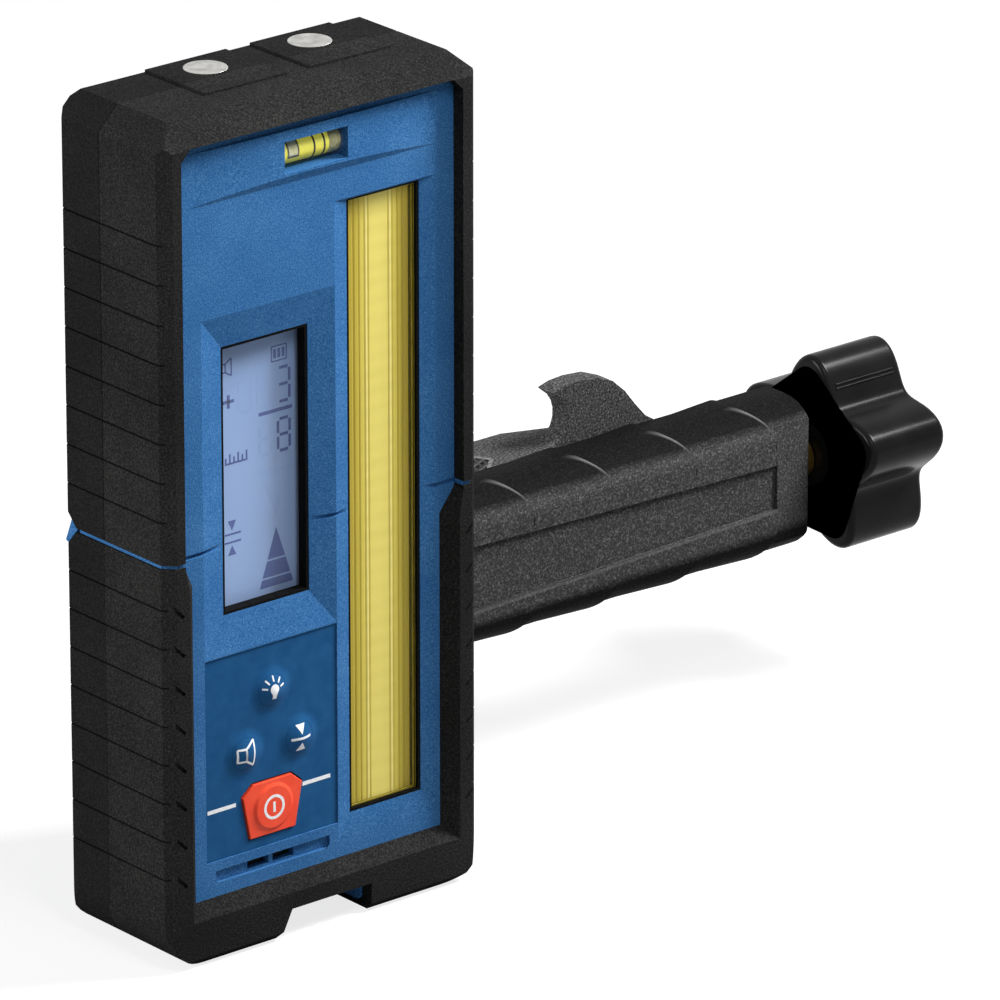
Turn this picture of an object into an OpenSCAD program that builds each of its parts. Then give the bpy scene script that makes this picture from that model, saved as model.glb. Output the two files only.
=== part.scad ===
// Laser receiver with its rod clamp: a beam detector in a rubber bumper, on a bracket that grips a staff.
// Millimetres. +Z is up, the display faces -Y and +X is to the right. The origin is on the base,
// at mid-width, on the plane where the front and rear shells part.

/* [Body] */
// Width over the bumper
body_w = 79; // [77:0.5:88]
// Height from the feet to the magnets
body_h = 175; // [172:1:190]
// Depth of the rear half, from the parting plane
rear_d = 13; // [12.5:0.5:16]
// Bevel on the front upright corners
corner_bevel = 2.3; // [1.5:0.1:3]
// Bevel on the rear upright corners
rear_bevel = 1.5; // [0.8:0.1:2.5]
// Height of the bevel round the top
top_bevel_z = 4.8; // [3:0.2:6]
// Reach of the bevel round the top
top_bevel_y = 4.8; // [3:0.2:6]
// Radius of the lower corners, seen from the front
foot_r = 9; // [6:0.5:11]
// Bevel on the front and back edges of the feet
foot_bevel = 1.6; // [0.8:0.1:2.5]

/* [Bumper] */
// Thickness of the rubber on the sides
bumper_t = 3.3; // [2.8:0.1:4]
// Thickness of the rubber on the top
bumper_top_t = 3.6; // [3.2:0.1:4.5]
// Thickness of the rubber feet
bumper_foot_t = 6; // [4.5:0.25:7]
// Depth of the panel behind the front of the bumper
panel_recess = 3; // [2:0.25:4]
// Depth of the back cover behind the rear rim of the bumper
back_recess = 1; // [0.6:0.1:1.4]
// Width of the centre mark line between the upper and lower bumpers
mark_gap = 0.9; // [0.6:0.1:1.4]
// Depth of the blue centre line under the rubber's surface
mark_sink = 0.5; // [0.3:0.1:1]
// Distance between grip grooves
groove_pitch = 8.1; // [7.5:0.1:8.4]
// Distance from the centre mark to the first grip groove
groove_first = 9.1; // [8:0.1:10]
// Grip grooves in each half
groove_count = 8; // [5:1:8]
// Width of a grip groove
groove_w = 0.7; // [0.5:0.1:1]
// Depth of a grip groove
groove_d = 0.5; // [0.3:0.1:0.8]
// Height of the sighting notch at the rear edges
sight_h = 9.6; // [7:0.2:11]
// Depth of the sighting notch
sight_d = 4.6; // [3:0.2:5.5]
// Width of the notch between the front feet
foot_gap_w = 22; // [16:0.5:26]
// Reach of the bumper's upper rim over the panel
upper_lip = 4.5; // [4:0.1:6]
// Reach of the bumper's lower rim over the panel
lower_lip = 8.3; // [7:0.1:9]
// Width of the bevel inside the lower rim
lip_bevel = 2.8; // [2:0.1:2.9]
// Height of the upper rim over the panel's top edge
upper_rim_h = 5.2; // [4:0.1:5.8]
// Height of the panel's bottom edge
panel_z = 12.3; // [11.5:0.1:13]
// Height of the slant where the lower rim widens
rim_slant_h = 4.9; // [3:0.1:6]

/* [Shells] */
// Bevel on the upper corners of the case
case_bevel = 2; // [1.6:0.1:3]
// Wall of the shells
wall = 2.2; // [1.8:0.1:2.6]
// Thickness of the front panel
panel_t = 2.5; // [2.2:0.1:3]
// Bulge of the brow round the vial
brow_bulge = 0.8; // [0.4:0.1:1.2]
// Width of the brow
brow_w = 63; // [50:1:66]
// Height of the brow
brow_h = 11; // [9:0.25:11.5]
// Width of the sealing ring
seal_w = 1; // [0.8:0.1:1.2]
// Depth of the sealing ring's groove
seal_d = 0.8; // [0.6:0.1:1]

/* [Display] */
// Width of the display opening
display_w = 20.4; // [18:0.2:21]
// Distance of the display opening's upper edge under the top
display_drop = 49.5; // [48:0.5:56]
// Height of the display opening's lower edge
display_z = 71; // [70:0.5:73]
// Depth of the sloping bezel round the display
display_bezel_d = 1.5; // [1:0.1:1.6]
// Width of the bezel at the sides
display_bezel_w = 6.4; // [4:0.1:6.6]
// Width of the bezel at the top
display_bezel_top = 7.5; // [4:0.1:8]
// Width of the bezel at the bottom
display_bezel_foot = 8.3; // [4:0.1:8.4]
// Thickness of the display's lens
lens_t = 1; // [0.8:0.1:1.2]
// Thickness of the liquid crystal module
lcd_t = 3; // [2.6:0.1:3.2]

/* [Reception window] */
// Distance of the window opening from the body's right side
window_inset = 13.2; // [12.6:0.1:15]
// Distance of the window opening from the keypad film
window_gap = 4.3; // [4:0.1:6]
// Distance of the window opening's upper edge under the top
window_drop = 25.8; // [25:0.2:34]
// Height of the window opening's lower edge
window_z = 21.3; // [20.5:0.1:22]
// Depth of the bezel round the window
window_bezel_d = 1; // [0.8:0.1:1.2]
// Width of the bezel at the sides
window_bezel_w = 4.2; // [3:0.1:4.3]
// Width of the bezel at the top
window_bezel_top = 1; // [0.6:0.1:1.5]
// Width of the bezel at the bottom
window_bezel_foot = 6; // [4:0.1:6.5]
// Thickness of the tinted pane
pane_t = 1.2; // [1:0.1:1.4]
// Thickness of the ribbed light guide
guide_t = 2.1; // [1.8:0.1:2.2]
// Ribs on the light guide
guide_ribs = 9; // [5:1:13]

/* [Keypad] */
// Distance of the keypad film from the body's left side
keypad_inset = 11.2; // [10.8:0.1:12]
// Width of the keypad film
keypad_w = 33.2; // [30:0.2:33.4]
// Height of the keypad film
keypad_h = 42.7; // [42:0.1:43]
// Height of the keypad film's lower edge
keypad_z = 19.7; // [19.5:0.1:20.2]
// Thickness of the keypad film
film_t = 0.8; // [0.6:0.1:1]
// Radius of a round button
button_r = 4; // [3.4:0.1:4.4]
// Height of the power button over the film's lower edge
power_rise = 8.1; // [7.8:0.1:8.6]
// Height of the volume and accuracy buttons over the power button
pair_step = 12.9; // [12.4:0.1:13.4]
// Height of the light button over the volume and accuracy buttons
light_step = 11.8; // [10.8:0.1:12.2]
// Distance of the volume and accuracy buttons from the column's centre
pair_x = 6.8; // [6.2:0.1:7.5]
// Greatest width of the power button
power_w = 15; // [13:0.2:15.4]
// Height of the power button's outline
power_h = 11.4; // [10:0.2:11.6]
// Travel of a button
button_travel = 0.8; // [0.5:0.1:0.9]
// Height of a button over the film
button_proud = 0.5; // [0.3:0.1:0.8]
// Crown of a button
button_crown = 0.4; // [0.2:0.1:0.6]

/* [Vial and speaker] */
// Width of the vial opening
vial_w = 15.7; // [14:0.1:17]
// Height of the vial opening
vial_h = 6.5; // [6:0.1:7]
// Distance of the vial's centre under the top
vial_drop = 13; // [12.5:0.1:14]
// Width of the speaker slot
speaker_w = 28.8; // [26:0.2:30]
// Height of the speaker slot
speaker_h = 2.6; // [2:0.1:3]
// Distance of the speaker slot's centre under the keypad film
speaker_drop = 3.3; // [3:0.1:3.7]
// Width of one sound hole
sound_hole_w = 5.3; // [4:0.1:6]

/* [Magnets] */
// Radius of a top magnet
magnet_r = 4.5; // [4:0.1:5]
// Thickness of a top magnet
magnet_t = 2.2; // [1.8:0.1:2.6]
// Place of the left magnet
magnet_left_x = -9; // [-11:0.5:-8]
// Place of the right magnet
magnet_right_x = 17; // [15:0.5:19]
// Distance of the magnets behind the parting plane
magnet_y = 5.2; // [5:0.1:6]
// Width of a magnet's pad
magnet_pad_w = 20; // [16:0.5:22]
// Height of a magnet's pad
magnet_pad_h = 0.5; // [0.3:0.1:0.8]
// Reach of a magnet's pad in front of the parting plane
magnet_pad_front = 7.5; // [5:0.5:9]

/* [Electronics] */
// Thickness of a circuit board
board_t = 1.6; // [1.2:0.1:1.8]
// Distance from the front panel to the main board
board_gap = 5.3; // [5.3:0.1:5.6]
// Gap between the main board and the battery bay
board_clear = 1; // [0.6:0.1:2]
// Gap between the main board and the screw bosses
board_side_gap = 0.7; // [0.5:0.1:2]
// Distance of the main board's upper edge under the top
board_drop = 23.6; // [22:0.2:30]
// Height of the main board's lower edge
board_z = 9.4; // [9:0.2:10]
// Width of a key switch
switch_w = 6; // [5:0.1:6.2]
// Radius of the buzzer
buzzer_r = 4.2; // [3.5:0.1:4.5]

/* [Battery] */
// Radius of a cell
cell_r = 7.25; // [7:0.05:7.25]
// Length of a cell
cell_l = 50.5; // [48:0.5:51]
// Distance of the battery door's hinge under the top
hinge_drop = 20; // [18:0.5:22]
// Depth of a contact spring
spring_l = 3.6; // [3:0.1:4]
// Thickness of a contact plate
contact_t = 0.8; // [0.6:0.1:1]
// Thickness of the battery door
door_t = 2; // [1.8:0.1:2.2]
// Overlap of the battery door past the bay
door_lap = 3.3; // [3:0.1:4]
// Radius of the door's hinge pin
hinge_pin_r = 0.6; // [0.5:0.05:0.65]

/* [Fasteners] */
// Radius of a housing screw
screw_r = 1.5; // [1.25:0.05:1.6]
// Length of a housing screw under its head
screw_l = 18; // [15:0.5:19]
// Radius of a housing screw's head
screw_head_r = 2.7; // [2.4:0.1:2.8]
// Height of a housing screw's head
screw_head_h = 2; // [1.6:0.1:2.2]
// Radius of a screw boss
boss_r = 3.6; // [3.4:0.1:3.8]
// Distance of the screw bosses from the case's sides
boss_inset = 3.9; // [3.7:0.1:4.4]
// Height of the lower screw bosses
boss_low_z = 13; // [12.5:0.1:13.5]
// Distance of the upper screw bosses under the top
boss_drop = 12; // [11:0.1:13]

/* [Bracket] */
// Gap between the receiver's back and the arm
arm_gap = 3; // [2:0.25:5]
// Depth of the arm
arm_d = 13; // [12:0.25:15]
// Height of the arm's centre line
arm_z = 46; // [45:0.5:47]
// Height of the arm
arm_h = 34; // [32:0.5:38]
// Height of the arm's flat front face
arm_face_h = 19.5; // [17:0.5:21]
// Reach of the arm to the left of the body's centre
arm_left = 24; // [20:0.5:26]
// Radius of the arm's end corners
arm_end_r = 5; // [3:0.5:6]
// Length of the arm's end block
arm_end_l = 10.8; // [9:0.1:13]
// Height of the arm's end block
arm_end_h = 26; // [24:0.5:27]
// Distance between the arm's raised scales
scale_pitch = 22; // [18:0.5:26]
// Height of a raised scale
scale_h = 0.7; // [0.4:0.1:1]
// Length of a raised scale before its rounded edge
scale_l = 9; // [6:0.5:12]
// Radius of a scale's rounded edge
scale_round = 9; // [6:0.25:9.5]
// Place of the first scale's rounded edge
scale_x = 31; // [28:0.5:36]
// Depth of the arm's recessed panel
arm_panel_d = 0.8; // [0.4:0.1:1.2]
// Half width of the slot that the jaw runs in
slot_half = 11; // [10.5:0.25:11.5]
// Thickness of the arm's front wall at the slot
slot_wall = 2.6; // [2.4:0.1:2.8]
// Width of the pad that meets the receiver's back
pad_w = 36; // [32:0.5:38]
// Height of the pad that meets the receiver's back
pad_h = 24; // [20:0.5:25]
// Depth of the recess that takes the pad
pad_sink = 1; // [0.6:0.1:1.2]

/* [Clamp jaws] */
// Opening between the jaws as drawn
grip_shown = 65; // [60:1:65]
// Opening between the jaws when fully open
grip_widest = 89; // [75:1:100]
// Opening between the jaws when fully closed
grip_closed = 10; // [10:1:20]
// Distance from the thumb knob to the fixed jaw
thumb_clear = 1.5; // [0.6:0.1:3]
// Thickness of the fixed jaw
fixed_jaw_t = 7.5; // [7.2:0.1:8]
// Reach of the jaws behind the arm
jaw_reach = 15; // [13:0.5:18]
// Depth of the vee in a jaw
vee_d = 4.4; // [3:0.1:4.8]
// Distance from the arm to the deepest line of the vee
vee_y = 4.5; // [3.5:0.1:5]
// Distance from the arm to the vee's rear tip
vee_tip_y = 12.5; // [11:0.1:12.8]
// Thickness of a jaw's grip pad
grip_pad_t = 1.2; // [1:0.1:1.5]
// Length of the sliding jaw
jaw_l = 46; // [44:1:50]
// Height of the sliding jaw
jaw_h = 33; // [28:0.5:34]
// Thickness of the finger hook
hook_t = 5; // [4:0.25:6]
// Height of the finger hook over the jaw
hook_h = 13.6; // [11:0.2:15]
// Distance from the jaw's tips to the hook's point
hook_x = 18; // [16:0.5:20]
// Radius of the finger curve under the hook
finger_r = 6.2; // [5:0.1:6.5]

/* [Clamp screw] */
// Distance of the spindle's axis behind the arm's front
spindle_inset = 7.6; // [7.4:0.1:7.8]
// Height of the spindle's axis over the arm's centre line
spindle_rise = 2; // [0:0.25:2.5]
// Radius of the spindle
spindle_r = 3; // [2.5:0.1:3.2]
// Thickness of the jaw nut
nut_t = 8; // [6:0.5:9]
// Wall of the end bush
bush_wall = 1.2; // [0.9:0.1:1.3]
// Thickness of the bush's flange and of the thrust collar
flange_t = 2; // [1.5:0.1:2.5]
// Radius of the star knob over its lobes
knob_r = 21.75; // [19:0.25:23]
// Depth of the valleys between the lobes
knob_valley = 6.7; // [4:0.1:7]
// Lobes on the star knob
knob_lobes = 5; // [5:1:7]
// Length of the star knob
knob_l = 20.5; // [17:0.5:24]
// Distance from the arm's end to the knob's rim
knob_gap = 4; // [3.5:0.25:9]
// Wall of the star knob
knob_wall = 2.6; // [2.2:0.1:3]
// Radius of the knob's hub
hub_r = 7; // [6.4:0.1:8]
// Turn of the first lobe from straight up
knob_turn = -2; // [-30:1:30]

/* [Fixing screw] */
// Radius of the fixing screw
fixing_r = 3.1; // [2.9:0.05:3.4]
// Reach of the fixing screw into the receiver
fixing_reach = 7; // [5:0.25:8]
// Radius of the fixing screw's thumb knob
thumb_r = 8; // [7:0.1:8.2]
// Length of the fixing screw's thumb knob
thumb_l = 9; // [7:0.5:11]
// Flutes on the thumb knob
thumb_flutes = 12; // [8:1:16]
// Radius of the threaded insert
insert_r = 5.5; // [5:0.1:6]
// Length of the threaded insert
insert_l = 8.5; // [8:0.1:9]

/* [Fits] */
// Gap round parts that are fixed to each other
seat_gap = 0.05; // [0.03:0.01:0.08]
// Running gap of a shaft in its hole
run_gap = 0.05; // [0.03:0.01:0.08]
// Gap round parts that slide or press
slide_gap = 0.3; // [0.2:0.05:0.4]

/* [Hidden] */
$fn = 64;

blue = "#2f68a8";
deep_blue = "#1d4f86";
rubber = "#242424";
plastic_black = "#1b1b1b";
// Overrun of a cut past the face that it leaves
cut = 1;
arc_steps = 8;
wave_steps = 24;

// The case is what the rubber bumper wraps
half_w = body_w / 2;
case_hw = half_w - bumper_t;
case_top = body_h - bumper_top_t;
case_low = bumper_foot_t;
case_back = rear_d - back_recess;
back_in = case_back - wall;
deck_z = body_h - magnet_pad_h;
panel_top = body_h - upper_rim_h;
upper_hw = half_w - upper_lip;
lower_hw = half_w - lower_lip;
foot_gap = [-foot_gap_w / 2, foot_gap_w / 2];
// The share of the foot gap's width that its slanting left wall takes
foot_slant_share = 0.08;
// The share of the foot gap's width that the housing's rib takes
foot_rib_share = 0.03;

// The rear shell's battery bay, from the door in to its floor
cell_gap = 0.4;
bay_wall = 1.3;
bay_hw = 2 * cell_r + cell_gap + cell_gap / 2;
bay_l = cell_l + spring_l + 2 * contact_t;
hinge_z = body_h - hinge_drop;
bay_zs = [hinge_z - door_lap - bay_l, hinge_z - door_lap];
door_y = case_back - door_t;
cell_y = door_y - cell_gap - cell_r;
bay_y = cell_y - cell_r - cell_gap;
cell_x = cell_r + cell_gap / 2;
cell_z = bay_zs[0] + contact_t + spring_l;
door_hw = bay_hw + door_lap;
door_zs = [bay_zs[0] - door_lap, hinge_z];
hinge_y = case_back - door_t / 2;
hinge_cut = door_t / 2 + slide_gap;
hinge_pin_l = 2 * door_hw + 4 * slide_gap + 2 * hinge_pin_r;
door_frame = 1.6;
door_tab_w = 12;
door_tab_h = 2.4;
pip_r = 2.5;
pip_h = 1.2;

// The front half is as deep as the bay, the board and the panel need
board_y = bay_y - bay_wall - board_clear - board_t;
panel_in = board_y - board_gap;
panel_y = panel_in - panel_t;
front_d = panel_recess - panel_y;

// Openings in the front panel, as low and high values
keypad_xs = [keypad_inset - half_w, keypad_inset - half_w + keypad_w];
keypad_zs = [keypad_z, keypad_z + keypad_h];
column_x = (keypad_xs[0] + keypad_xs[1]) / 2;
display_xs = [column_x - display_w / 2, column_x + display_w / 2];
display_zs = [display_z, body_h - display_drop];
window_xs = [keypad_xs[1] + window_gap, half_w - window_inset];
window_zs = [window_z, body_h - window_drop];
vial_z = body_h - vial_drop;
vial_xs = [-vial_w / 2, vial_w / 2];
vial_zs = [vial_z - vial_h / 2, vial_z + vial_h / 2];
speaker_z = keypad_z - speaker_drop;
speaker_xs = [column_x - speaker_w / 2, column_x + speaker_w / 2];
speaker_zs = [speaker_z - speaker_h / 2, speaker_z + speaker_h / 2];
display_y = panel_y + display_bezel_d;
window_y = panel_y + window_bezel_d;
// The centre mark is level with the middle of the window
mark_z = (window_zs[0] + window_zs[1]) / 2;
mark_groove_d = 0.4;
// The lips that line the two openings
liner = 0.6;
gasket_rim = 1.5;
lens_y = board_y - lcd_t - lens_t;
pane_y = board_y - board_t - guide_t - pane_t;
film_front = panel_y + slide_gap;
film_back = film_front + film_t;
vial_r = vial_h / 2 - seat_gap;
vial_wall = 1.4;
vial_y = film_front + vial_r;
speaker_d = 0.8;
sound_gap = 1.1;

// A button's heights run from the inner face of the panel towards the user
power_z = keypad_z + power_rise;
pair_z = power_z + pair_step;
light_z = pair_z + light_step;
button_flange_t = 0.8;
button_flange_lap = 0.9;
button_edge = panel_in - film_front + button_proud;
switch_top = slide_gap / 2 + button_flange_t + button_travel + seat_gap;
plunger_h = 0.5;
plunger_r = 1.75;
// The power button's dome, as shares of the button's height
dome_low_share = 0.44;
dome_high_share = 0.38;
// Corners of half of the power button's outline, as shares of its half width and height
power_shares = [[0.76, -1], [1, 0.6], [0.64, 1]];

// Housing screws, two low and two high, and the posts that carry the main board
boss_x = case_hw - boss_inset;
boss_spots = [for (x = [-boss_x, boss_x], z = [boss_low_z, body_h - boss_drop]) [x, z]];
screw_seat = case_back - screw_head_h - wall;
screw_tip = screw_seat - screw_l;
board_hw = boss_x - boss_r - board_side_gap;
post_r = 2;
post_spots = [for (x = [post_r - board_hw, (display_xs[1] + window_xs[0]) / 2],
                   z = [light_z + button_r, display_zs[1] + display_bezel_top + post_r]) [x, z]];
drive_r = 1;
drive_d = 1;

// Bracket: the arm lies along X behind the receiver, with the clamp screw in it
arm_y = rear_d + arm_gap;
arm_back = arm_y + arm_d;
arm_low = arm_z - arm_h / 2;
arm_high = arm_z + arm_h / 2;
arm_curve_d_share = 0.8;
spindle_y = arm_y + spindle_inset;
spindle_z = arm_z + spindle_rise;
// The collar and the bush's flange just clear the front of the slot
flange_r = spindle_inset - slot_wall - slide_gap;
bush_r = spindle_r + bush_wall;
pad_front = case_back - pad_sink;

// Jaws: the fixed one on the arm, the sliding one part of the way along the slot
fixed_jaw_x = thumb_r + thumb_clear + fixed_jaw_t;
jaw_x = fixed_jaw_x + grip_shown;
jaw_front = arm_back + slide_gap;
jaw_back = arm_back + jaw_reach;
jaw_zs = [arm_z - jaw_h / 2, arm_z + jaw_h / 2];
jaw_end = jaw_x + jaw_l;
carriage_half = slot_half - slide_gap;
carriage_y = arm_y + slot_wall + slide_gap;
carriage_xs = [jaw_x + vee_d + grip_pad_t, jaw_end - vee_d];
nut_x = carriage_xs[0] + nut_t;
nut_w = 2 * flange_r;
finger_inset_share = 0.35;
finger_from = -80;
finger_to = 60;
heel_share = 0.35;
neck_share = 0.22;
// The hook's outline from its point over the crest and down its slope, as shares of its length and height
hook_shares = [[0, 0.92], [0.1, 0.98], [0.24, 1], [0.42, 0.97], [0.58, 0.84], [0.7, 0.62], [0.8, 0.36],
               [0.9, 0.13], [1, 0]];

// The slot is as long as the jaw's travel, and the arm ends past it
slot_left = carriage_xs[0] - (grip_shown - grip_closed) - cut;
slot_right = carriage_xs[1] + grip_widest - grip_shown + flange_t + 2 * slide_gap;
arm_right = slot_right + arm_end_l;
scale_xs = [for (x = [scale_x : scale_pitch : slot_right - scale_round]) x];
arm_panel_xs = [half_w / 2, slot_right];
arm_panel_left_share = 0.85;
arm_panel_right_share = 0.5;

// Clamp screw and knob
knob_x = arm_right + knob_gap;
knob_end = knob_x + knob_l;
spindle_left = fixed_jaw_x - spindle_r / 2;
spindle_right = knob_end - knob_wall - flange_t;
collar_x = slot_right - flange_t - slide_gap;
knob_web = 3;
cap_share = 0.8;
cap_r = hub_r * cap_share;
cap_t = 1.2;
hub_front = arm_right + flange_t + slide_gap;

// Fixing screw behind the receiver's centre
flute_share = 0.16;
insert_y = pad_front - insert_l;
fixing_tip = pad_front - fixing_reach;
thumb_y = arm_back + slide_gap;
insert_wall = 2;

// Shapes that repeat

function arc(c, r, from, to) =
    [for (i = [0 : arc_steps]) let (a = from + (to - from) * i / arc_steps)
        [c[0] + r * cos(a), c[1] + r * sin(a)]];

// A front view of the body: bevelled at the top and round at the bottom
function face(hw, low, high, round_r, bevel) = concat(
    arc([-hw + round_r, low + round_r], round_r, 180, 270),
    arc([hw - round_r, low + round_r], round_r, 270, 360),
    [[hw, high - bevel], [hw - bevel, high], [-hw + bevel, high], [-hw, high - bevel]]);

// A star knob's outline, which swells at each lobe
function star(r, valley) =
    [for (i = [0 : knob_lobes * wave_steps - 1]) let (
        a = 360 * i / (knob_lobes * wave_steps),
        reach = r - valley / 2 + valley / 2 * cos(knob_lobes * a))
        [reach * sin(a + knob_turn), reach * cos(a + knob_turn)]];

// The arm's section in Y and Z: a flat front that curves over to the top and bottom
function arm_section(grow) = let (
    half = arm_h / 2 + grow,
    flat = arm_face_h / 2,
    deep = arm_d * arm_curve_d_share + grow,
    curve = [for (i = [0 : arc_steps]) let (a = 90 * i / arc_steps)
        [arm_y - grow + deep * (1 - cos(a)), flat + (half - flat) * sin(a)]])
    concat([for (p = curve) [p[0], arm_z + p[1]]],
           [[arm_back, arm_z + half], [arm_back, arm_z - half]],
           [for (i = [arc_steps : -1 : 0]) [curve[i][0], arm_z - curve[i][1]]]);

// A jaw's vee in plan, from its front tip to its rear tip
function vee(x, side) = [[x, jaw_front], [x + side * vee_d, arm_back + vee_y], [x, arm_back + vee_tip_y]];

function reversed(list) = [for (i = [len(list) - 1 : -1 : 0]) list[i]];

// The power button's outline, grown by a gap
function power_outline(grow) = let (
    right = [for (s = power_shares) [s[0] * (power_w / 2 + grow), s[1] * (power_h / 2 + grow)]])
    [for (p = concat(right, [for (q = reversed(right)) [-q[0], q[1]]])) [column_x + p[0], power_z + p[1]]];

module block(x, y, z) {
    translate([x[0], y[0], z[0]]) cube([x[1] - x[0], y[1] - y[0], z[1] - z[0]]);
}

module prism_x(x, points) {
    translate([x[0], 0, 0]) rotate([90, 0, 90]) linear_extrude(x[1] - x[0]) polygon(points);
}

module prism_y(y, points) {
    translate([0, y[1], 0]) rotate([90, 0, 0]) linear_extrude(y[1] - y[0]) polygon(points);
}

module prism_z(z, points) {
    translate([0, 0, z[0]]) linear_extrude(z[1] - z[0]) polygon(points);
}

module rod_x(x, y, z, r) {
    translate([x[0], y, z]) rotate([0, 90, 0]) cylinder(h = x[1] - x[0], r = r);
}

module rod_y(y, x, z, r) {
    translate([x, y[0], z]) rotate([-90, 0, 0]) cylinder(h = y[1] - y[0], r = r);
}

module rod_z(z, x, y, r) {
    translate([x, y, z[0]]) cylinder(h = z[1] - z[0], r = r);
}

module both_sides() {
    children();
    mirror([1, 0, 0]) children();
}

// The body's outer form, before it is split into bumpers
module body_form() {
    intersection() {
        prism_y([-front_d, rear_d], face(half_w, 0, deck_z, foot_r, top_bevel_z));
        prism_z([-cut, body_h + cut], [
            [-half_w, rear_d - rear_bevel], [-half_w + rear_bevel, rear_d],
            [half_w - rear_bevel, rear_d], [half_w, rear_d - rear_bevel],
            [half_w, corner_bevel - front_d], [half_w - corner_bevel, -front_d],
            [corner_bevel - half_w, -front_d], [-half_w, corner_bevel - front_d]]);
        prism_x([-half_w - cut, half_w + cut], [
            [-front_d, deck_z - top_bevel_z], [top_bevel_y - front_d, deck_z],
            [rear_d - rear_bevel, deck_z], [rear_d, deck_z - rear_bevel],
            [rear_d, foot_bevel], [rear_d - foot_bevel, 0],
            [foot_bevel - front_d, 0], [-front_d, foot_bevel]]);
    }
}

// The case under the rubber, drawn in by an inset
module case_form(y, inset) {
    prism_y(y, face(case_hw - inset, case_low + inset, case_top - inset, foot_r - bumper_t - inset / 2,
                    case_bevel - inset / 2));
}

module magnet_pads() {
    for (x = [magnet_left_x, magnet_right_x])
        block([x - magnet_pad_w / 2, x + magnet_pad_w / 2], [-magnet_pad_front, rear_d - rear_bevel],
              [deck_z - top_bevel_z / 2, body_h]);
}

// Rubber that wraps the case, between two depths and two heights
module bumper(y, z, up) {
    difference() {
        intersection() {
            union() {
                body_form();
                magnet_pads();
            }
            block([-half_w - cut, half_w + cut], y, z);
        }
        case_form([panel_y, rear_d + cut], 0);
        both_sides() grip_grooves(up);
    }
}

module grip_grooves(up) {
    for (z = groove_zs(up))
        translate([half_w - groove_d, -front_d - cut, z - groove_w / 2])
            cube([groove_d + cut, front_d + rear_d + 2 * cut, groove_w]);
}

// Heights of the grip grooves above or below the centre mark, where the sides are upright
function groove_zs(up) = [for (i = [0 : groove_count - 1])
    let (z = mark_z + up * (groove_first + i * groove_pitch))
    if (z > foot_r && z < deck_z - top_bevel_z) z];

// Short slanting slots at the front edge of the lower bumper
module edge_slots() {
    slot_l = 2 * corner_bevel;
    for (z = groove_zs(-1))
        translate([half_w - corner_bevel, -front_d, z])
            rotate([0, -45, 0]) cube([slot_l, 2 * groove_d, groove_w], center = true);
}

// The notch at the rear edges, through which the centre mark is sighted
module sight_notch() {
    prism_x([case_hw, half_w + cut], [
        [rear_d - sight_d, mark_z], [rear_d, mark_z + sight_h / 2], [rear_d + cut, mark_z + sight_h / 2],
        [rear_d + cut, mark_z - sight_h / 2], [rear_d, mark_z - sight_h / 2]]);
}

// A recess that narrows from the panel's face to an opening
module bezel(x, z, y_in, side, foot, top) {
    deep = y_in - panel_y;
    more = (deep + cut) / deep;
    front = panel_y - cut;
    intersection() {
        prism_z([z[0] - more * foot, z[1] + more * top], [
            [x[0] - more * side, front], [x[1] + more * side, front], [x[1], y_in], [x[0], y_in]]);
        prism_x([x[0] - more * side, x[1] + more * side], [
            [front, z[0] - more * foot], [front, z[1] + more * top], [y_in, z[1]], [y_in, z[0]]]);
    }
}

// A frame that lines an opening and rests behind the panel
module liner_frame(x, z, front, back) {
    difference() {
        union() {
            block([x[0] - liner, x[1] + liner], [front, back], [z[0] - liner, z[1] + liner]);
            behind_rim(x, z, [panel_in, back]);
        }
        block(x, [front - cut, back + cut], z);
    }
}

// A plate as large as the rim of the frame that it rests on
module behind_rim(x, z, y) {
    block([x[0] - gasket_rim, x[1] + gasket_rim], y, [z[0] - gasket_rim, z[1] + gasket_rim]);
}

// A round button, turned about its own axis: dome, barrel and the flange that keeps it in the panel
module round_button(x, z) {
    low = -slide_gap / 2;
    barrel = button_r - slide_gap;
    dome = [for (i = [0 : arc_steps]) let (a = 90 * i / arc_steps)
        [barrel * cos(a), button_edge + button_crown * sin(a)]];
    translate([x, panel_in, z]) rotate([90, 0, 0]) rotate_extrude() polygon(concat(
        [[0, low - button_flange_t], [button_r + button_flange_lap, low - button_flange_t],
         [button_r + button_flange_lap, low], [barrel, low]], dome));
}

// Sub-parts

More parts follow.
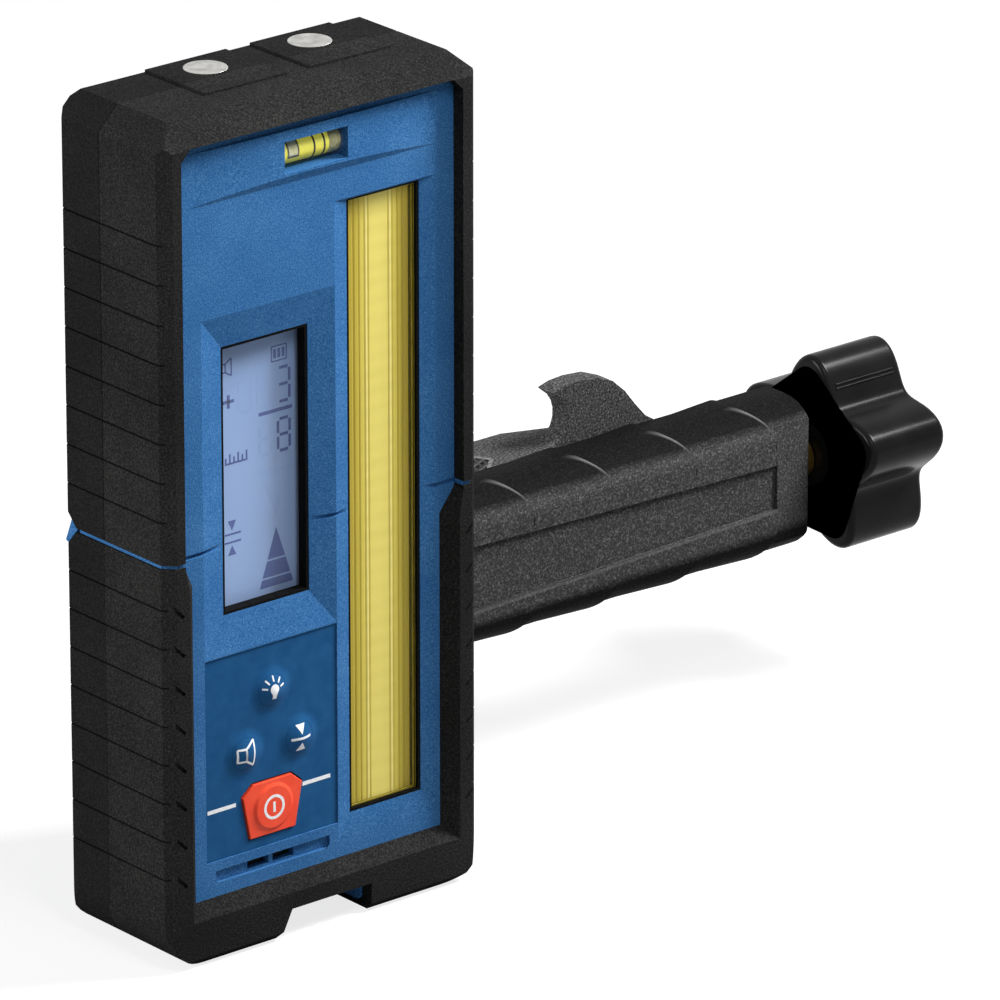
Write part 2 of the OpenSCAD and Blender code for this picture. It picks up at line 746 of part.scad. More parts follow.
module front_housing() {
    color(blue) difference() {
        union() {
            difference() {
                case_form([panel_y, 0], 0);
                case_form([panel_in, cut], wall);
            }
            intersection() {
                case_form([panel_y - cut, 0], 0);
                brow();
            }
            centre_line([panel_y, 0]);
            for (p = boss_spots) rod_y([panel_in - wall / 2, 0], p[0], p[1], boss_r);
            for (p = post_spots) rod_y([panel_in - wall / 2, board_y], p[0], p[1], post_r);
            block([vial_xs[0] - vial_wall, vial_xs[1] + vial_wall],
                  [panel_in - wall / 2, vial_y + vial_r + vial_wall],
                  [vial_zs[0] - vial_wall, vial_zs[1] + vial_wall]);
            block([foot_gap[1] - foot_gap_w * foot_rib_share, foot_gap[1]], [panel_y, 0],
                  [foot_bevel, case_low + wall]);
        }
        bezel(display_xs, display_zs, display_y, display_bezel_w, display_bezel_foot, display_bezel_top);
        block([display_xs[0] - liner, display_xs[1] + liner], [panel_y - cut, panel_in + cut],
              [display_zs[0] - liner, display_zs[1] + liner]);
        bezel(window_xs, window_zs, window_y, window_bezel_w, window_bezel_foot, window_bezel_top);
        block([window_xs[0] - liner, window_xs[1] + liner], [panel_y - cut, panel_in + cut],
              [window_zs[0] - liner, window_zs[1] + liner]);
        block(keypad_xs, [panel_y - cut, film_back], keypad_zs);
        for (p = [[0, light_z], [-pair_x, pair_z], [pair_x, pair_z]])
            rod_y([panel_y - cut, panel_in + cut], column_x + p[0], p[1], button_r);
        prism_y([panel_y - cut, panel_in + cut], power_outline(slide_gap));
        block(vial_xs, [panel_y - brow_bulge - cut, vial_y + vial_r], vial_zs);
        block(speaker_xs, [panel_y - cut, panel_y + speaker_d], speaker_zs);
        for (s = [-1, 1])
            translate([column_x + s * (sound_hole_w + sound_gap) / 2 - sound_hole_w / 2, panel_y - cut,
                       speaker_zs[0] + speaker_d / 2])
                cube([sound_hole_w, panel_t + 2 * cut, speaker_h - speaker_d]);
        block([-upper_hw, upper_hw], [panel_y - cut, panel_y + mark_groove_d],
              [mark_z - mark_gap / 2, mark_z + mark_gap / 2]);
        for (p = boss_spots) rod_y([screw_tip - cut, cut], p[0], p[1], screw_r + seat_gap);
    }
}

// The brow stands out in the middle and fades at both ends
module brow() {
    half = brow_w / 2;
    front = [for (i = [-arc_steps : arc_steps]) let (t = i / arc_steps)
        [half * t, panel_y - brow_bulge * (1 - t * t)]];
    prism_z([vial_z - brow_h / 2, vial_z + brow_h / 2],
            concat(front, [[half, panel_in], [-half, panel_in]]));
}

// The blue line between the bumpers, level with the centre of the window
module centre_line(y) {
    intersection() {
        difference() {
            prism_z([mark_z - mark_gap / 2, mark_z + mark_gap / 2], [
                [mark_sink - half_w, rear_d - rear_bevel - mark_sink],
                [half_w - mark_sink, rear_d - rear_bevel - mark_sink],
                [half_w - mark_sink, corner_bevel - front_d + mark_sink],
                [half_w - corner_bevel - mark_sink, mark_sink - front_d],
                [upper_hw, mark_sink - front_d], [upper_hw, panel_y], [-upper_hw, panel_y],
                [-upper_hw, mark_sink - front_d], [corner_bevel + mark_sink - half_w, mark_sink - front_d],
                [mark_sink - half_w, corner_bevel - front_d + mark_sink]]);
            case_form([panel_y, rear_d + cut], wall / 2);
        }
        block([-half_w, half_w], [y[0] == panel_y ? -front_d : y[0], y[1]], [0, body_h]);
    }
}

module rear_housing() {
    frame_hw = door_hw + slide_gap + door_frame + hinge_pin_r;
    frame_zs = [door_zs[0] - slide_gap - door_frame, hinge_z + hinge_cut + door_frame];
    color(blue) difference() {
        union() {
            difference() {
                case_form([0, case_back], 0);
                case_form([-cut, back_in], wall);
            }
            intersection() {
                centre_line([0, rear_d]);
                block([-half_w, half_w], [0, rear_d - sight_d], [0, body_h]);
            }
            for (p = boss_spots) rod_y([0, back_in + wall / 2], p[0], p[1], boss_r);
            rod_y([insert_y - insert_wall, back_in + wall / 2], 0, arm_z, insert_r + insert_wall);
            block([-bay_hw - bay_wall, bay_hw + bay_wall], [bay_y - bay_wall, back_in + wall / 2],
                  [bay_zs[0] - bay_wall, bay_zs[1] + bay_wall]);
            block([-frame_hw, frame_hw], [door_y - wall, back_in + wall / 2], frame_zs);
        }
        block([-bay_hw, bay_hw], [bay_y, case_back + cut], bay_zs);
        block([-door_hw - slide_gap, door_hw + slide_gap], [door_y, case_back + cut],
              [door_zs[0] - slide_gap, hinge_z]);
        block([-door_hw - slide_gap, door_hw + slide_gap], [hinge_y - hinge_cut, case_back + cut],
              [hinge_z - hinge_cut, hinge_z + hinge_cut]);
        block([-door_tab_w / 2 - slide_gap, door_tab_w / 2 + slide_gap], [door_y, case_back + cut],
              [door_zs[0] - door_tab_h - slide_gap, door_zs[0]]);
        rod_x([-hinge_pin_l / 2, hinge_pin_l / 2], hinge_y, hinge_z, hinge_pin_r + run_gap);
        for (p = boss_spots) {
            rod_y([-cut, case_back + cut], p[0], p[1], screw_r + seat_gap);
            rod_y([screw_seat, case_back + cut], p[0], p[1], screw_head_r + seat_gap);
        }
        rod_y([insert_y, case_back + cut], 0, arm_z, insert_r + seat_gap);
        block([-pad_w / 2 - slide_gap, pad_w / 2 + slide_gap], [pad_front, case_back + cut],
              [arm_z - pad_h / 2 - slide_gap, arm_z + pad_h / 2 + slide_gap]);
        housing_ring(seat_gap);
    }
}

// The ring that seals the joint between the shells
module housing_ring(grow) {
    mid = wall / 2;
    difference() {
        case_form([0, seal_d], mid - seal_w / 2 - grow);
        case_form([-cut, seal_d + cut], mid + seal_w / 2 + grow);
    }
}

module housing_seal() {
    color("#3a3a3a") housing_ring(0);
}

module housing_screws() {
    color("silver") for (p = boss_spots) difference() {
        union() {
            rod_y([screw_tip, screw_seat], p[0], p[1], screw_r);
            rod_y([screw_seat, screw_seat + screw_head_h], p[0], p[1], screw_head_r);
        }
        translate([p[0], screw_seat + screw_head_h - drive_d, p[1]]) rotate([-90, 0, 0])
            cylinder(h = drive_d + cut, r = drive_r, $fn = 6);
    }
}

module front_bumper_upper() {
    color(rubber) difference() {
        bumper([-front_d - cut, 0], [mark_z + mark_gap / 2, body_h + cut], 1);
        prism_y([-front_d - cut, panel_y + cut], [
            [-upper_hw, mark_z - cut], [upper_hw, mark_z - cut],
            [upper_hw, panel_top - corner_bevel], [upper_hw - corner_bevel, panel_top],
            [corner_bevel - upper_hw, panel_top], [-upper_hw, panel_top - corner_bevel]]);
    }
}

module front_bumper_lower() {
    step_top = mark_z - mark_gap - slide_gap;
    color(rubber) difference() {
        bumper([-front_d - cut, 0], [-cut, mark_z - mark_gap / 2], -1);
        prism_y([-front_d - cut, panel_y + cut], [
            [-upper_hw, mark_z + cut], [-upper_hw, step_top], [-lower_hw, step_top - rim_slant_h],
            [-lower_hw, panel_z], [lower_hw, panel_z], [lower_hw, step_top - rim_slant_h],
            [upper_hw, step_top], [upper_hw, mark_z + cut]]);
        rim_bevel(step_top - rim_slant_h);
        both_sides() edge_slots();
        prism_y([-front_d - cut, cut], [
            [foot_gap[0] - foot_gap_w * foot_slant_share, -cut], [foot_gap[1], -cut],
            [foot_gap[1], case_low], [foot_gap[0] + foot_gap_w * foot_slant_share, case_low]]);
    }
}

// The slope from the lower rim's front edge down to the panel
module rim_bevel(top) {
    more = (panel_recess + cut) / panel_recess * lip_bevel;
    front = -front_d - cut;
    intersection() {
        prism_z([0, top], [[-lower_hw - more, front], [lower_hw + more, front], [lower_hw, panel_y],
                           [-lower_hw, panel_y]]);
        prism_x([-half_w, half_w], [
            [front, panel_z - more], [front, top], [panel_y, top], [panel_y, panel_z]]);
    }
}

module rear_bumper_upper() {
    color(rubber) difference() {
        bumper([0, rear_d + cut], [mark_z + mark_gap / 2, body_h + cut], 1);
        both_sides() sight_notch();
        for (x = [magnet_left_x, magnet_right_x])
            rod_z([body_h - magnet_t, body_h + cut], x, magnet_y, magnet_r + seat_gap);
    }
}

module rear_bumper_lower() {
    color(rubber) difference() {
        bumper([0, rear_d + cut], [-cut, mark_z - mark_gap / 2], -1);
        both_sides() sight_notch();
    }
}

module top_magnets() {
    color("silver") for (x = [magnet_left_x, magnet_right_x])
        rod_z([body_h - magnet_t, body_h], x, magnet_y, magnet_r);
}

module bubble_vial() {
    color("#cfe04a") rod_x([vial_xs[0] + seat_gap, vial_xs[1] - seat_gap], vial_y, vial_z, vial_r);
}

module display_gasket() {
    color(plastic_black) liner_frame(display_xs, display_zs, display_y, lens_y);
}

module display_lens() {
    color("#a9bcdc") behind_rim(display_xs, display_zs, [lens_y, lens_y + lens_t]);
}

module lcd_module() {
    color("#8aa3ce") behind_rim(display_xs, display_zs, [lens_y + lens_t, board_y]);
}

module window_gasket() {
    color(plastic_black) liner_frame(window_xs, window_zs, window_y, pane_y);
}

module reception_window() {
    color("#d4c45a") behind_rim(window_xs, window_zs, [pane_y, pane_y + pane_t]);
}

// The light guide's upright ribs spread the beam over the diodes
module light_guide() {
    rib = (window_xs[1] - window_xs[0]) / (2 * guide_ribs + 1);
    color("#e3d478") difference() {
        block(window_xs, [pane_y + pane_t, pane_y + pane_t + guide_t], window_zs);
        for (i = [0 : guide_ribs - 1])
            translate([window_xs[0] + (2 * i + 1) * rib, pane_y + pane_t - cut, window_zs[0] - cut])
                cube([rib, cut + guide_t / 3, window_zs[1] - window_zs[0] + 2 * cut]);
    }
}

module sensor_board() {
    color("#2f5d3a") block(window_xs, [board_y - board_t, board_y], window_zs);
}

module keypad_film() {
    color(deep_blue) difference() {
        block([keypad_xs[0] + seat_gap, keypad_xs[1] - seat_gap], [film_front, film_back],
              [keypad_zs[0] + seat_gap, keypad_zs[1] - seat_gap]);
        for (p = [[0, light_z], [-pair_x, pair_z], [pair_x, pair_z]])
            rod_y([film_front - cut, film_back + cut], column_x + p[0], p[1], button_r);
        prism_y([film_front - cut, film_back + cut], power_outline(slide_gap));
    }
}

module light_button() {
    color(deep_blue) round_button(column_x, light_z);
}

module volume_button() {
    color(deep_blue) round_button(column_x - pair_x, pair_z);
}

module accuracy_button() {
    color(deep_blue) round_button(column_x + pair_x, pair_z);
}

module power_button() {
    flange_front = panel_in + slide_gap / 2;
    color("#e8301f") {
        prism_y([panel_in - button_edge, flange_front], power_outline(0));
        prism_y([flange_front, flange_front + button_flange_t], power_outline(button_flange_lap));
        translate([column_x, panel_in - button_edge, power_z]) rotate([90, 0, 0])
            cylinder(h = button_crown, r1 = power_h * dome_low_share, r2 = power_h * dome_high_share);
    }
}

module main_board() {
    color("#2f5d3a") difference() {
        block([-board_hw, board_hw], [board_y, board_y + board_t], [board_z, body_h - board_drop]);
        for (p = post_spots) rod_y([board_y - cut, board_y + board_t + cut], p[0], p[1], post_r / 2);
    }
}

module key_switches() {
    top = panel_in + switch_top;
    color("#b9b9b9")
        for (p = [[0, light_z], [-pair_x, pair_z], [pair_x, pair_z], [0, power_z]]) {
            block([column_x + p[0] - switch_w / 2, column_x + p[0] + switch_w / 2],
                  [top + plunger_h, board_y],
                  [p[1] - switch_w / 2, p[1] + switch_w / 2]);
            rod_y([top, top + plunger_h], column_x + p[0], p[1], plunger_r);
        }
}

module buzzer() {
    color(plastic_black) difference() {
        rod_y([panel_in + slide_gap, board_y], column_x, speaker_z, buzzer_r);
        rod_y([panel_in, panel_in + 2 * slide_gap], column_x, speaker_z, buzzer_r / 4);
    }
}

// The battery door turns on a pin along its top edge and snaps shut at its tab
module battery_door() {
    color(blue) difference() {
        union() {
            prism_x([-door_hw, door_hw], concat(
                [[door_y, door_zs[0]], [case_back, door_zs[0]]],
                arc([hinge_y, hinge_z], door_t / 2, 0, 180)));
            block([-door_tab_w / 2, door_tab_w / 2], [door_y, case_back],
                  [door_zs[0] - door_tab_h, door_zs[0] + door_tab_h]);
        }
        rod_x([-door_hw - cut, door_hw + cut], hinge_y, hinge_z, hinge_pin_r + run_gap);
        for (i = [1 : 3])
            block([-door_tab_w / 2, door_tab_w / 2], [case_back - groove_d, case_back + cut],
                  [door_zs[0] + i * door_tab_h, door_zs[0] + i * door_tab_h + groove_w]);
    }
}

module door_hinge_pin() {
    half = hinge_pin_l / 2 - seat_gap;
    color("silver") rod_x([-half, half], hinge_y, hinge_z, hinge_pin_r);
}

module battery_cells() {
    color("#50555c") for (s = [-1, 1]) {
        rod_z([cell_z, cell_z + cell_l - pip_h], s * cell_x, cell_y, cell_r);
        rod_z([cell_z + cell_l - pip_h, cell_z + cell_l], s * cell_x, cell_y, pip_r);
    }
}

module battery_springs() {
    color("silver") for (s = [-1, 1]) difference() {
        rod_z([bay_zs[0] + contact_t, cell_z], s * cell_x, cell_y, cell_r / 2);
        rod_z([bay_zs[0] + contact_t - cut, cell_z + cut], s * cell_x, cell_y, cell_r / 2 - contact_t);
    }
}

module battery_contacts() {
    plate_ys = [bay_y, cell_y + cell_r / 2];
    color("silver") {
        block([-bay_hw, bay_hw], plate_ys, [bay_zs[0], bay_zs[0] + contact_t]);
        for (s = [-1, 1])
            block([s * cell_x - cell_r / 2, s * cell_x + cell_r / 2], plate_ys,
                  [bay_zs[1] - contact_t, bay_zs[1]]);
    }
}

module thread_insert() {
    color("#c8a24a") difference() {
        rod_y([insert_y, pad_front], 0, arm_z, insert_r);
        rod_y([insert_y - cut, pad_front + cut], 0, arm_z, fixing_r + run_gap);
    }
}

module fixing_screw() {
    color("silver") rod_y([fixing_tip, thumb_y + thumb_l / 2], 0, arm_z, fixing_r);
}

module thumb_knob() {
    flute_r = thumb_r * flute_share;
    color(plastic_black) difference() {
        rod_y([thumb_y, thumb_y + thumb_l], 0, arm_z, thumb_r);
        rod_y([thumb_y - cut, thumb_y + thumb_l / 2], 0, arm_z, fixing_r + seat_gap);
        for (i = [0 : thumb_flutes - 1])
            translate([0, 0, arm_z]) rotate([0, i * 360 / thumb_flutes, 0]) translate([0, 0, -arm_z])
                rod_y([thumb_y + flute_r, thumb_y + thumb_l + cut], thumb_r, arm_z, flute_r);
    }
}

// The arm: a beam with raised scales, a slot for the jaw's carriage and the fixed jaw at its root
module bracket_arm() {
    end_half = arm_end_h / 2;
    grip = fixed_jaw_x - grip_pad_t;
    color(plastic_black) difference() {
        union() {
            intersection() {
                union() {
                    prism_x([-arm_left, arm_right], arm_section(0));
                    for (x = scale_xs) arm_scale(x);
                    block([arm_right - arm_end_l, arm_right], [arm_y, arm_back],
                          [arm_z - end_half, arm_z + end_half]);
                }
                prism_y([arm_y - cut, arm_back], arm_face_outline());
            }
            block([-pad_w / 2, pad_w / 2], [pad_front, arm_y + slot_wall],
                  [arm_z - pad_h / 2, arm_z + pad_h / 2]);
            prism_z(jaw_zs, concat(
                [[fixed_jaw_x - fixed_jaw_t, arm_back - slot_wall], [grip, arm_back - slot_wall]],
                vee(grip, -1),
                [[grip - vee_d / 2, jaw_back], [fixed_jaw_x - fixed_jaw_t, jaw_back]]));
        }
        arm_panel();
        block([slot_left, slot_right], [arm_y + slot_wall, arm_back + cut],
              [arm_z - slot_half, arm_z + slot_half]);
        rod_x([spindle_left - slide_gap, arm_right + cut], spindle_y, spindle_z, spindle_r + run_gap);
        rod_x([slot_right - cut, arm_right + cut], spindle_y, spindle_z, bush_r + seat_gap);
        rod_y([pad_front - cut, arm_back + cut], 0, arm_z, fixing_r + run_gap);
    }
}

// A raised scale that wraps the arm, with a rounded edge towards the knob above and below
module arm_scale(x) {
    intersection() {
        prism_x([x - scale_l, x + scale_round], arm_section(scale_h));
        union() {
            block([x - scale_l, x], [arm_y - cut, arm_back + cut], [arm_low - cut, arm_high + cut]);
            for (s = [-1, 1])
                rod_y([arm_y - cut, arm_back + cut], x, arm_z + s * (arm_h / 2 + scale_h - scale_round),
                      scale_round);
        }
    }
}

// The arm's outline from the front, with round corners at its free end
function arm_face_outline() = let (
    high = arm_high + scale_h,
    low = arm_low - scale_h,
    middle = arm_right - arm_end_r)
    concat([[-arm_left, low]],
           arc([middle, low + arm_end_r], arm_end_r, 270, 360),
           arc([middle, high - arm_end_r], arm_end_r, 0, 90),
           [[-arm_left, high]]);

// A shallow panel in the arm's front that narrows towards the knob
module arm_panel() {
    left = arm_face_h / 2 * arm_panel_left_share;
    right = arm_face_h / 2 * arm_panel_right_share;
    prism_y([arm_y - cut, arm_y + arm_panel_d], [
        [arm_panel_xs[0], arm_z - left], [arm_panel_xs[1], arm_z - right],
        [arm_panel_xs[1], arm_z + right], [arm_panel_xs[0], arm_z + left]]);
}

module fixed_jaw_pad() {
    back = reversed(vee(fixed_jaw_x - grip_pad_t, -1));
    color(rubber) prism_z(jaw_zs, concat(vee(fixed_jaw_x, -1), back));
}

module spindle_bush() {
    color("#c8a24a") difference() {
        union() {
            rod_x([slot_right, arm_right], spindle_y, spindle_z, bush_r);
            rod_x([arm_right, arm_right + flange_t], spindle_y, spindle_z, flange_r);
        }
        rod_x([slot_right - cut, arm_right + flange_t + cut], spindle_y, spindle_z, spindle_r + run_gap);
    }
}

module clamp_spindle() {
    color("silver") rod_x([spindle_left, spindle_right], spindle_y, spindle_z, spindle_r);
}

module thrust_collar() {
    color("silver") difference() {
        rod_x([collar_x, collar_x + flange_t], spindle_y, spindle_z, flange_r);
        rod_x([collar_x - cut, collar_x + flange_t + cut], spindle_y, spindle_z, spindle_r + seat_gap);
    }
}

// The star knob is open towards the arm and carries its hub on a web at the far end
module star_knob() {
    color(plastic_black) difference() {
        union() {
            difference() {
                star_bar([knob_x, knob_end], 0);
                star_bar([knob_x - cut, knob_end - knob_web], knob_wall);
            }
            rod_x([hub_front, knob_end - knob_web / 2], spindle_y, spindle_z, hub_r);
        }
        rod_x([hub_front - cut, spindle_right], spindle_y, spindle_z, spindle_r + seat_gap);
        rod_x([knob_end - cap_t, knob_end + cut], spindle_y, spindle_z, cap_r + seat_gap);
    }
}

module star_bar(x, inset) {
    translate([x[0], spindle_y, spindle_z]) rotate([90, 0, 90])
        linear_extrude(x[1] - x[0]) polygon(star(knob_r - inset, knob_valley));
}

module knob_cap() {
    color("#2c2c2c") rod_x([knob_end - cap_t, knob_end], spindle_y, spindle_z, cap_r);
}

// The sliding jaw: a vee, a heel that braces it, a carriage in the arm's slot and a hook for a finger
module sliding_jaw() {
    grip = jaw_x + grip_pad_t;
    color(plastic_black) difference() {
        union() {
            prism_z(jaw_zs, concat(vee(grip, 1), [
                [grip + vee_d / 2, jaw_back], [jaw_x + jaw_l * heel_share, jaw_back],
                [jaw_end, jaw_front + jaw_reach * neck_share], [jaw_end, jaw_front]]));
            block(carriage_xs, [carriage_y, jaw_front], [arm_z - carriage_half, arm_z + carriage_half]);
            prism_y([jaw_front, jaw_front + hook_t], hook_outline());
        }
        rod_x([carriage_xs[0] - cut, carriage_xs[1] + cut], spindle_y, spindle_z, spindle_r + slide_gap);
        block([nut_x, nut_x + nut_t], [carriage_y - cut, spindle_y + nut_w / 2],
              [spindle_z - nut_w / 2, spindle_z + nut_w / 2]);
    }
}

// The hook in X and Z: crest and slope, then back along the jaw to the finger curve
function hook_outline() = let (
    top = jaw_zs[1],
    length = jaw_l - hook_x,
    tip_z = top + hook_h * hook_shares[0][1],
    curve_x = jaw_x + hook_x - finger_r * finger_inset_share,
    curve_z = tip_z - finger_r)
    concat([for (s = hook_shares) [jaw_x + hook_x + length * s[0], top + hook_h * s[1]]],
           [[jaw_end, top - hook_h / 2], [jaw_x + hook_x / 2, top - hook_h / 2], [jaw_x + hook_x / 2, top]],
           arc([curve_x, curve_z], finger_r, finger_from, finger_to));

module sliding_jaw_pad() {
    color(rubber) prism_z(jaw_zs, concat(reversed(vee(jaw_x, 1)), vee(jaw_x + grip_pad_t, 1)));
}

module jaw_nut() {
    color("#c8a24a") difference() {
        block([nut_x + seat_gap, nut_x + nut_t - seat_gap], [carriage_y, spindle_y + nut_w / 2 - seat_gap],
              [spindle_z - nut_w / 2 + seat_gap, spindle_z + nut_w / 2 - seat_gap]);
        rod_x([nut_x - cut, nut_x + nut_t + cut], spindle_y, spindle_z, spindle_r + run_gap);
    }
}

front_housing();
rear_housing();
housing_seal();
housing_screws();
front_bumper_upper();
front_bumper_lower();
rear_bumper_upper();
rear_bumper_lower();
top_magnets();
bubble_vial();
display_gasket();
display_lens();
lcd_module();
window_gasket();
reception_window();
light_guide();
sensor_board();
keypad_film();
light_button();
volume_button();
accuracy_button();
power_button();
main_board();
key_switches();
buzzer();
battery_door();
door_hinge_pin();
battery_cells();
battery_springs();
battery_contacts();
thread_insert();
fixing_screw();
thumb_knob();
bracket_arm();
fixed_jaw_pad();
spindle_bush();
clamp_spindle();
thrust_collar();
star_knob();
knob_cap();
sliding_jaw();
sliding_jaw_pad();
jaw_nut();
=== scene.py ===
import math

import bmesh
import bpy
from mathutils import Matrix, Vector


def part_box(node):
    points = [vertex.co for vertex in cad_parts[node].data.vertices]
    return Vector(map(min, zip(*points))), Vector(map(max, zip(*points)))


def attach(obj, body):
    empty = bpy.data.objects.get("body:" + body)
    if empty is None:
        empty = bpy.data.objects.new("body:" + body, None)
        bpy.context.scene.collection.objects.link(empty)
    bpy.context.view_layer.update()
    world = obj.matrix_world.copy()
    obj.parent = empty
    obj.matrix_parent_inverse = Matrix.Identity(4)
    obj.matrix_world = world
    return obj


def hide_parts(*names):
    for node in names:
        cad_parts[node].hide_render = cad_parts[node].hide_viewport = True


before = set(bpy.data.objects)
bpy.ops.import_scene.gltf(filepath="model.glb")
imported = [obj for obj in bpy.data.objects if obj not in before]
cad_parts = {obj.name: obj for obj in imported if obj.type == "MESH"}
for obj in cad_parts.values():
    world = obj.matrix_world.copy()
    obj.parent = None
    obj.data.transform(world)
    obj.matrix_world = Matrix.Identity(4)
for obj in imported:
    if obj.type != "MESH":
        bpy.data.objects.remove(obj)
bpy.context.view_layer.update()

# Studio: a pale paper floor in a lit room, with four soft boxes: the key high on the right, a small one from
# above, and two large fills from the front and from the left. The camera stands two metres off with a long
# lens and looks down a little.
mm = 0.001
scene = bpy.context.scene
scene.view_settings.view_transform = "Standard"


def linear(code):
    """The linear colour of an sRGB hex value."""
    parts = [int(code[i : i + 2], 16) / 255 for i in (1, 3, 5)]
    return [p / 12.92 if p <= 0.04045 else ((p + 0.055) / 1.055) ** 2.4 for p in parts] + [1]


def feed(node, inputs):
    """Links a node's sockets, or sets them to plain values. Another node stands for its first output."""
    for socket, value in inputs.items():
        if isinstance(value, bpy.types.Node):
            value = value.outputs[0]
        if isinstance(value, bpy.types.NodeSocket):
            node.id_data.links.new(value, node.inputs[socket])
        else:
            node.inputs[socket].default_value = value


def add(tree, kind, inputs=(), stops=(), **settings):
    """A node with its settings, its sockets and its run of colours in hex."""
    node = tree.nodes.new("ShaderNode" + kind)
    for name, value in settings.items():
        setattr(node, name, value)
    feed(node, dict(inputs))
    if stops:
        spots = node.color_ramp.elements
        while len(spots) < len(stops):
            spots.new(1)
        for spot, (position, code) in zip(spots, stops):
            spot.position, spot.color = position, linear(code)
    return node


def seen_share(tree):
    """1 on rays from the camera, a mirror or a lens, and 0 on the rays that only carry light."""
    path = add(tree, "LightPath")
    gloss = {0: path.outputs["Is Camera Ray"], 1: path.outputs["Is Glossy Ray"]}
    either = add(tree, "Math", gloss, operation="MAXIMUM")
    lens = {0: either, 1: path.outputs["Is Transmission Ray"]}
    return add(tree, "Math", lens, operation="MAXIMUM")


bpy.ops.mesh.primitive_plane_add(size=8, location=(0, 0, -0.2 * mm))
floor = bpy.context.object
floor.name = "floor"
# White studio paper: matt, and bright enough to the camera to read as white while it still takes a shadow
paper = bpy.data.materials.new("white_studio_paper")
paper.use_nodes = True
tree = paper.node_tree
tree.nodes.clear()
matt = add(tree, "BsdfDiffuse", {"Color": linear("#8C8C8C")})
share = add(tree, "Math", {0: seen_share(tree), 1: 0.78}, operation="MULTIPLY")
glow = add(tree, "Emission", {"Strength": share})
both = add(tree, "AddShader", {0: matt, 1: glow})
add(tree, "OutputMaterial", {"Surface": both})
floor.data.materials.append(paper)

room = bpy.data.worlds.new("lit_room")
room.use_nodes = True
tree = room.node_tree
level = add(tree, "Math", {0: seen_share(tree), 1: 0.86, 2: 0.14}, operation="MULTIPLY_ADD")
feed(tree.nodes["Background"], {"Strength": level, "Color": linear("#FFFFFF")})
scene.world = room

lit_middle = Vector((0.04, 0, 0.08))
for name, place, size, power in (
    ("key_box", (0.4, -0.17, 0.5), 0.2, 6.6),
    ("top_box", (-0.05, -0.25, 0.45), 0.15, 0.65),
    ("front_box", (-0.2, -2.2, 0.9), 1.0, 2),
    ("side_box", (-1.9, 0.75, 0.7), 1.0, 45),
):
    place = Vector(place)
    turn = (place - lit_middle).to_track_quat("Z", "Y").to_euler()
    bpy.ops.object.light_add(type="AREA", radius=size, location=place, rotation=turn)
    bpy.context.object.name = name
    bpy.context.object.data.energy = power

aim, camera_away = Vector((61.15 * mm, 0, 69.59 * mm)), 2
azimuth, elevation = math.radians(-40.01), math.radians(20.81)
outward = math.cos(elevation)
away = Vector((math.sin(azimuth) * outward, -math.cos(azimuth) * outward, math.sin(elevation)))
bpy.ops.object.camera_add(location=aim + camera_away * away, rotation=away.to_track_quat("Z", "Y").to_euler())
scene.camera = bpy.context.object
scene.camera.data.sensor_width = 36
scene.camera.data.lens = 357.5


# Rear shell: blue ABS, moulded with a fine spark-eroded grain. It holds the battery bay, and its back takes
# the bracket. It shows at the back, in the sighting notches and in the gap between the feet.
def new_material(name):
    """A material with its node tree, its shader and the Object coordinates of the piece."""
    material = bpy.data.materials.new(name)
    material.use_nodes = True
    tree = material.node_tree
    return material, tree, tree.nodes["Principled BSDF"], add(tree, "TexCoord").outputs["Object"]


def pick(*pieces):
    """Selects some pieces and nothing else, with the first as the active one."""
    bpy.ops.object.select_all(action="DESELECT")
    for piece in pieces:
        piece.select_set(True)
    bpy.context.view_layer.objects.active = pieces[0]


def open_mesh():
    """Opens the active piece's mesh with all of it selected."""
    bpy.ops.object.mode_set(mode="EDIT")
    bpy.ops.mesh.select_all(action="SELECT")


def cad_copy(node, name):
    """A copy of a CAD node's mesh, merged, with the triangles of its flat faces joined."""
    piece = bpy.data.objects.new(name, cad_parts[node].data.copy())
    piece.data.name = name
    scene.collection.objects.link(piece)
    pick(piece)
    bpy.ops.mesh.customdata_custom_splitnormals_clear()
    open_mesh()
    bpy.ops.mesh.remove_doubles(threshold=0.001 * mm)
    bpy.ops.mesh.dissolve_limited(angle_limit=math.radians(0.4))
    bpy.ops.object.mode_set(mode="OBJECT")
    return piece


def soften(piece, width, segments, sharper, test):
    """Rounds the edges that are sharper than an angle and whose middle and length, in mm, pass a test."""
    pick(piece)
    bpy.ops.object.mode_set(mode="EDIT")
    bpy.ops.mesh.select_mode(type="EDGE")
    bpy.ops.mesh.select_all(action="DESELECT")
    mesh = bmesh.from_edit_mesh(piece.data)
    for edge in mesh.edges:
        if len(edge.link_faces) == 2 and edge.calc_face_angle() > math.radians(sharper):
            middle = (edge.verts[0].co + edge.verts[1].co) / (2 * mm)
            edge.select = test(middle, edge.calc_length() / mm)
    mesh.select_flush_mode()
    bmesh.update_edit_mesh(piece.data)
    bpy.ops.mesh.bevel(offset=width * mm, segments=segments, profile=0.5, affect="EDGES", clamp_overlap=True)
    bpy.ops.object.mode_set(mode="OBJECT")


def flat_faces_flat(piece, angle=35):
    """Smooth shading over the rounded edges, with the large faces kept flat."""
    pick(piece)
    bpy.ops.object.shade_smooth_by_angle(angle=math.radians(angle))
    weight = piece.modifiers.new("flat_faces", "WEIGHTED_NORMAL")
    weight.keep_sharp = True
    bpy.ops.object.modifier_apply(modifier=weight.name)


def seat(piece, body, slot, material, *nodes):
    """Gives a piece its material, sets it on its body and lets it stand for its nodes. The slot is not used.
    """
    piece.data.materials.clear()
    piece.data.materials.append(material)
    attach(piece, body)
    if nodes:
        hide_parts(*nodes)


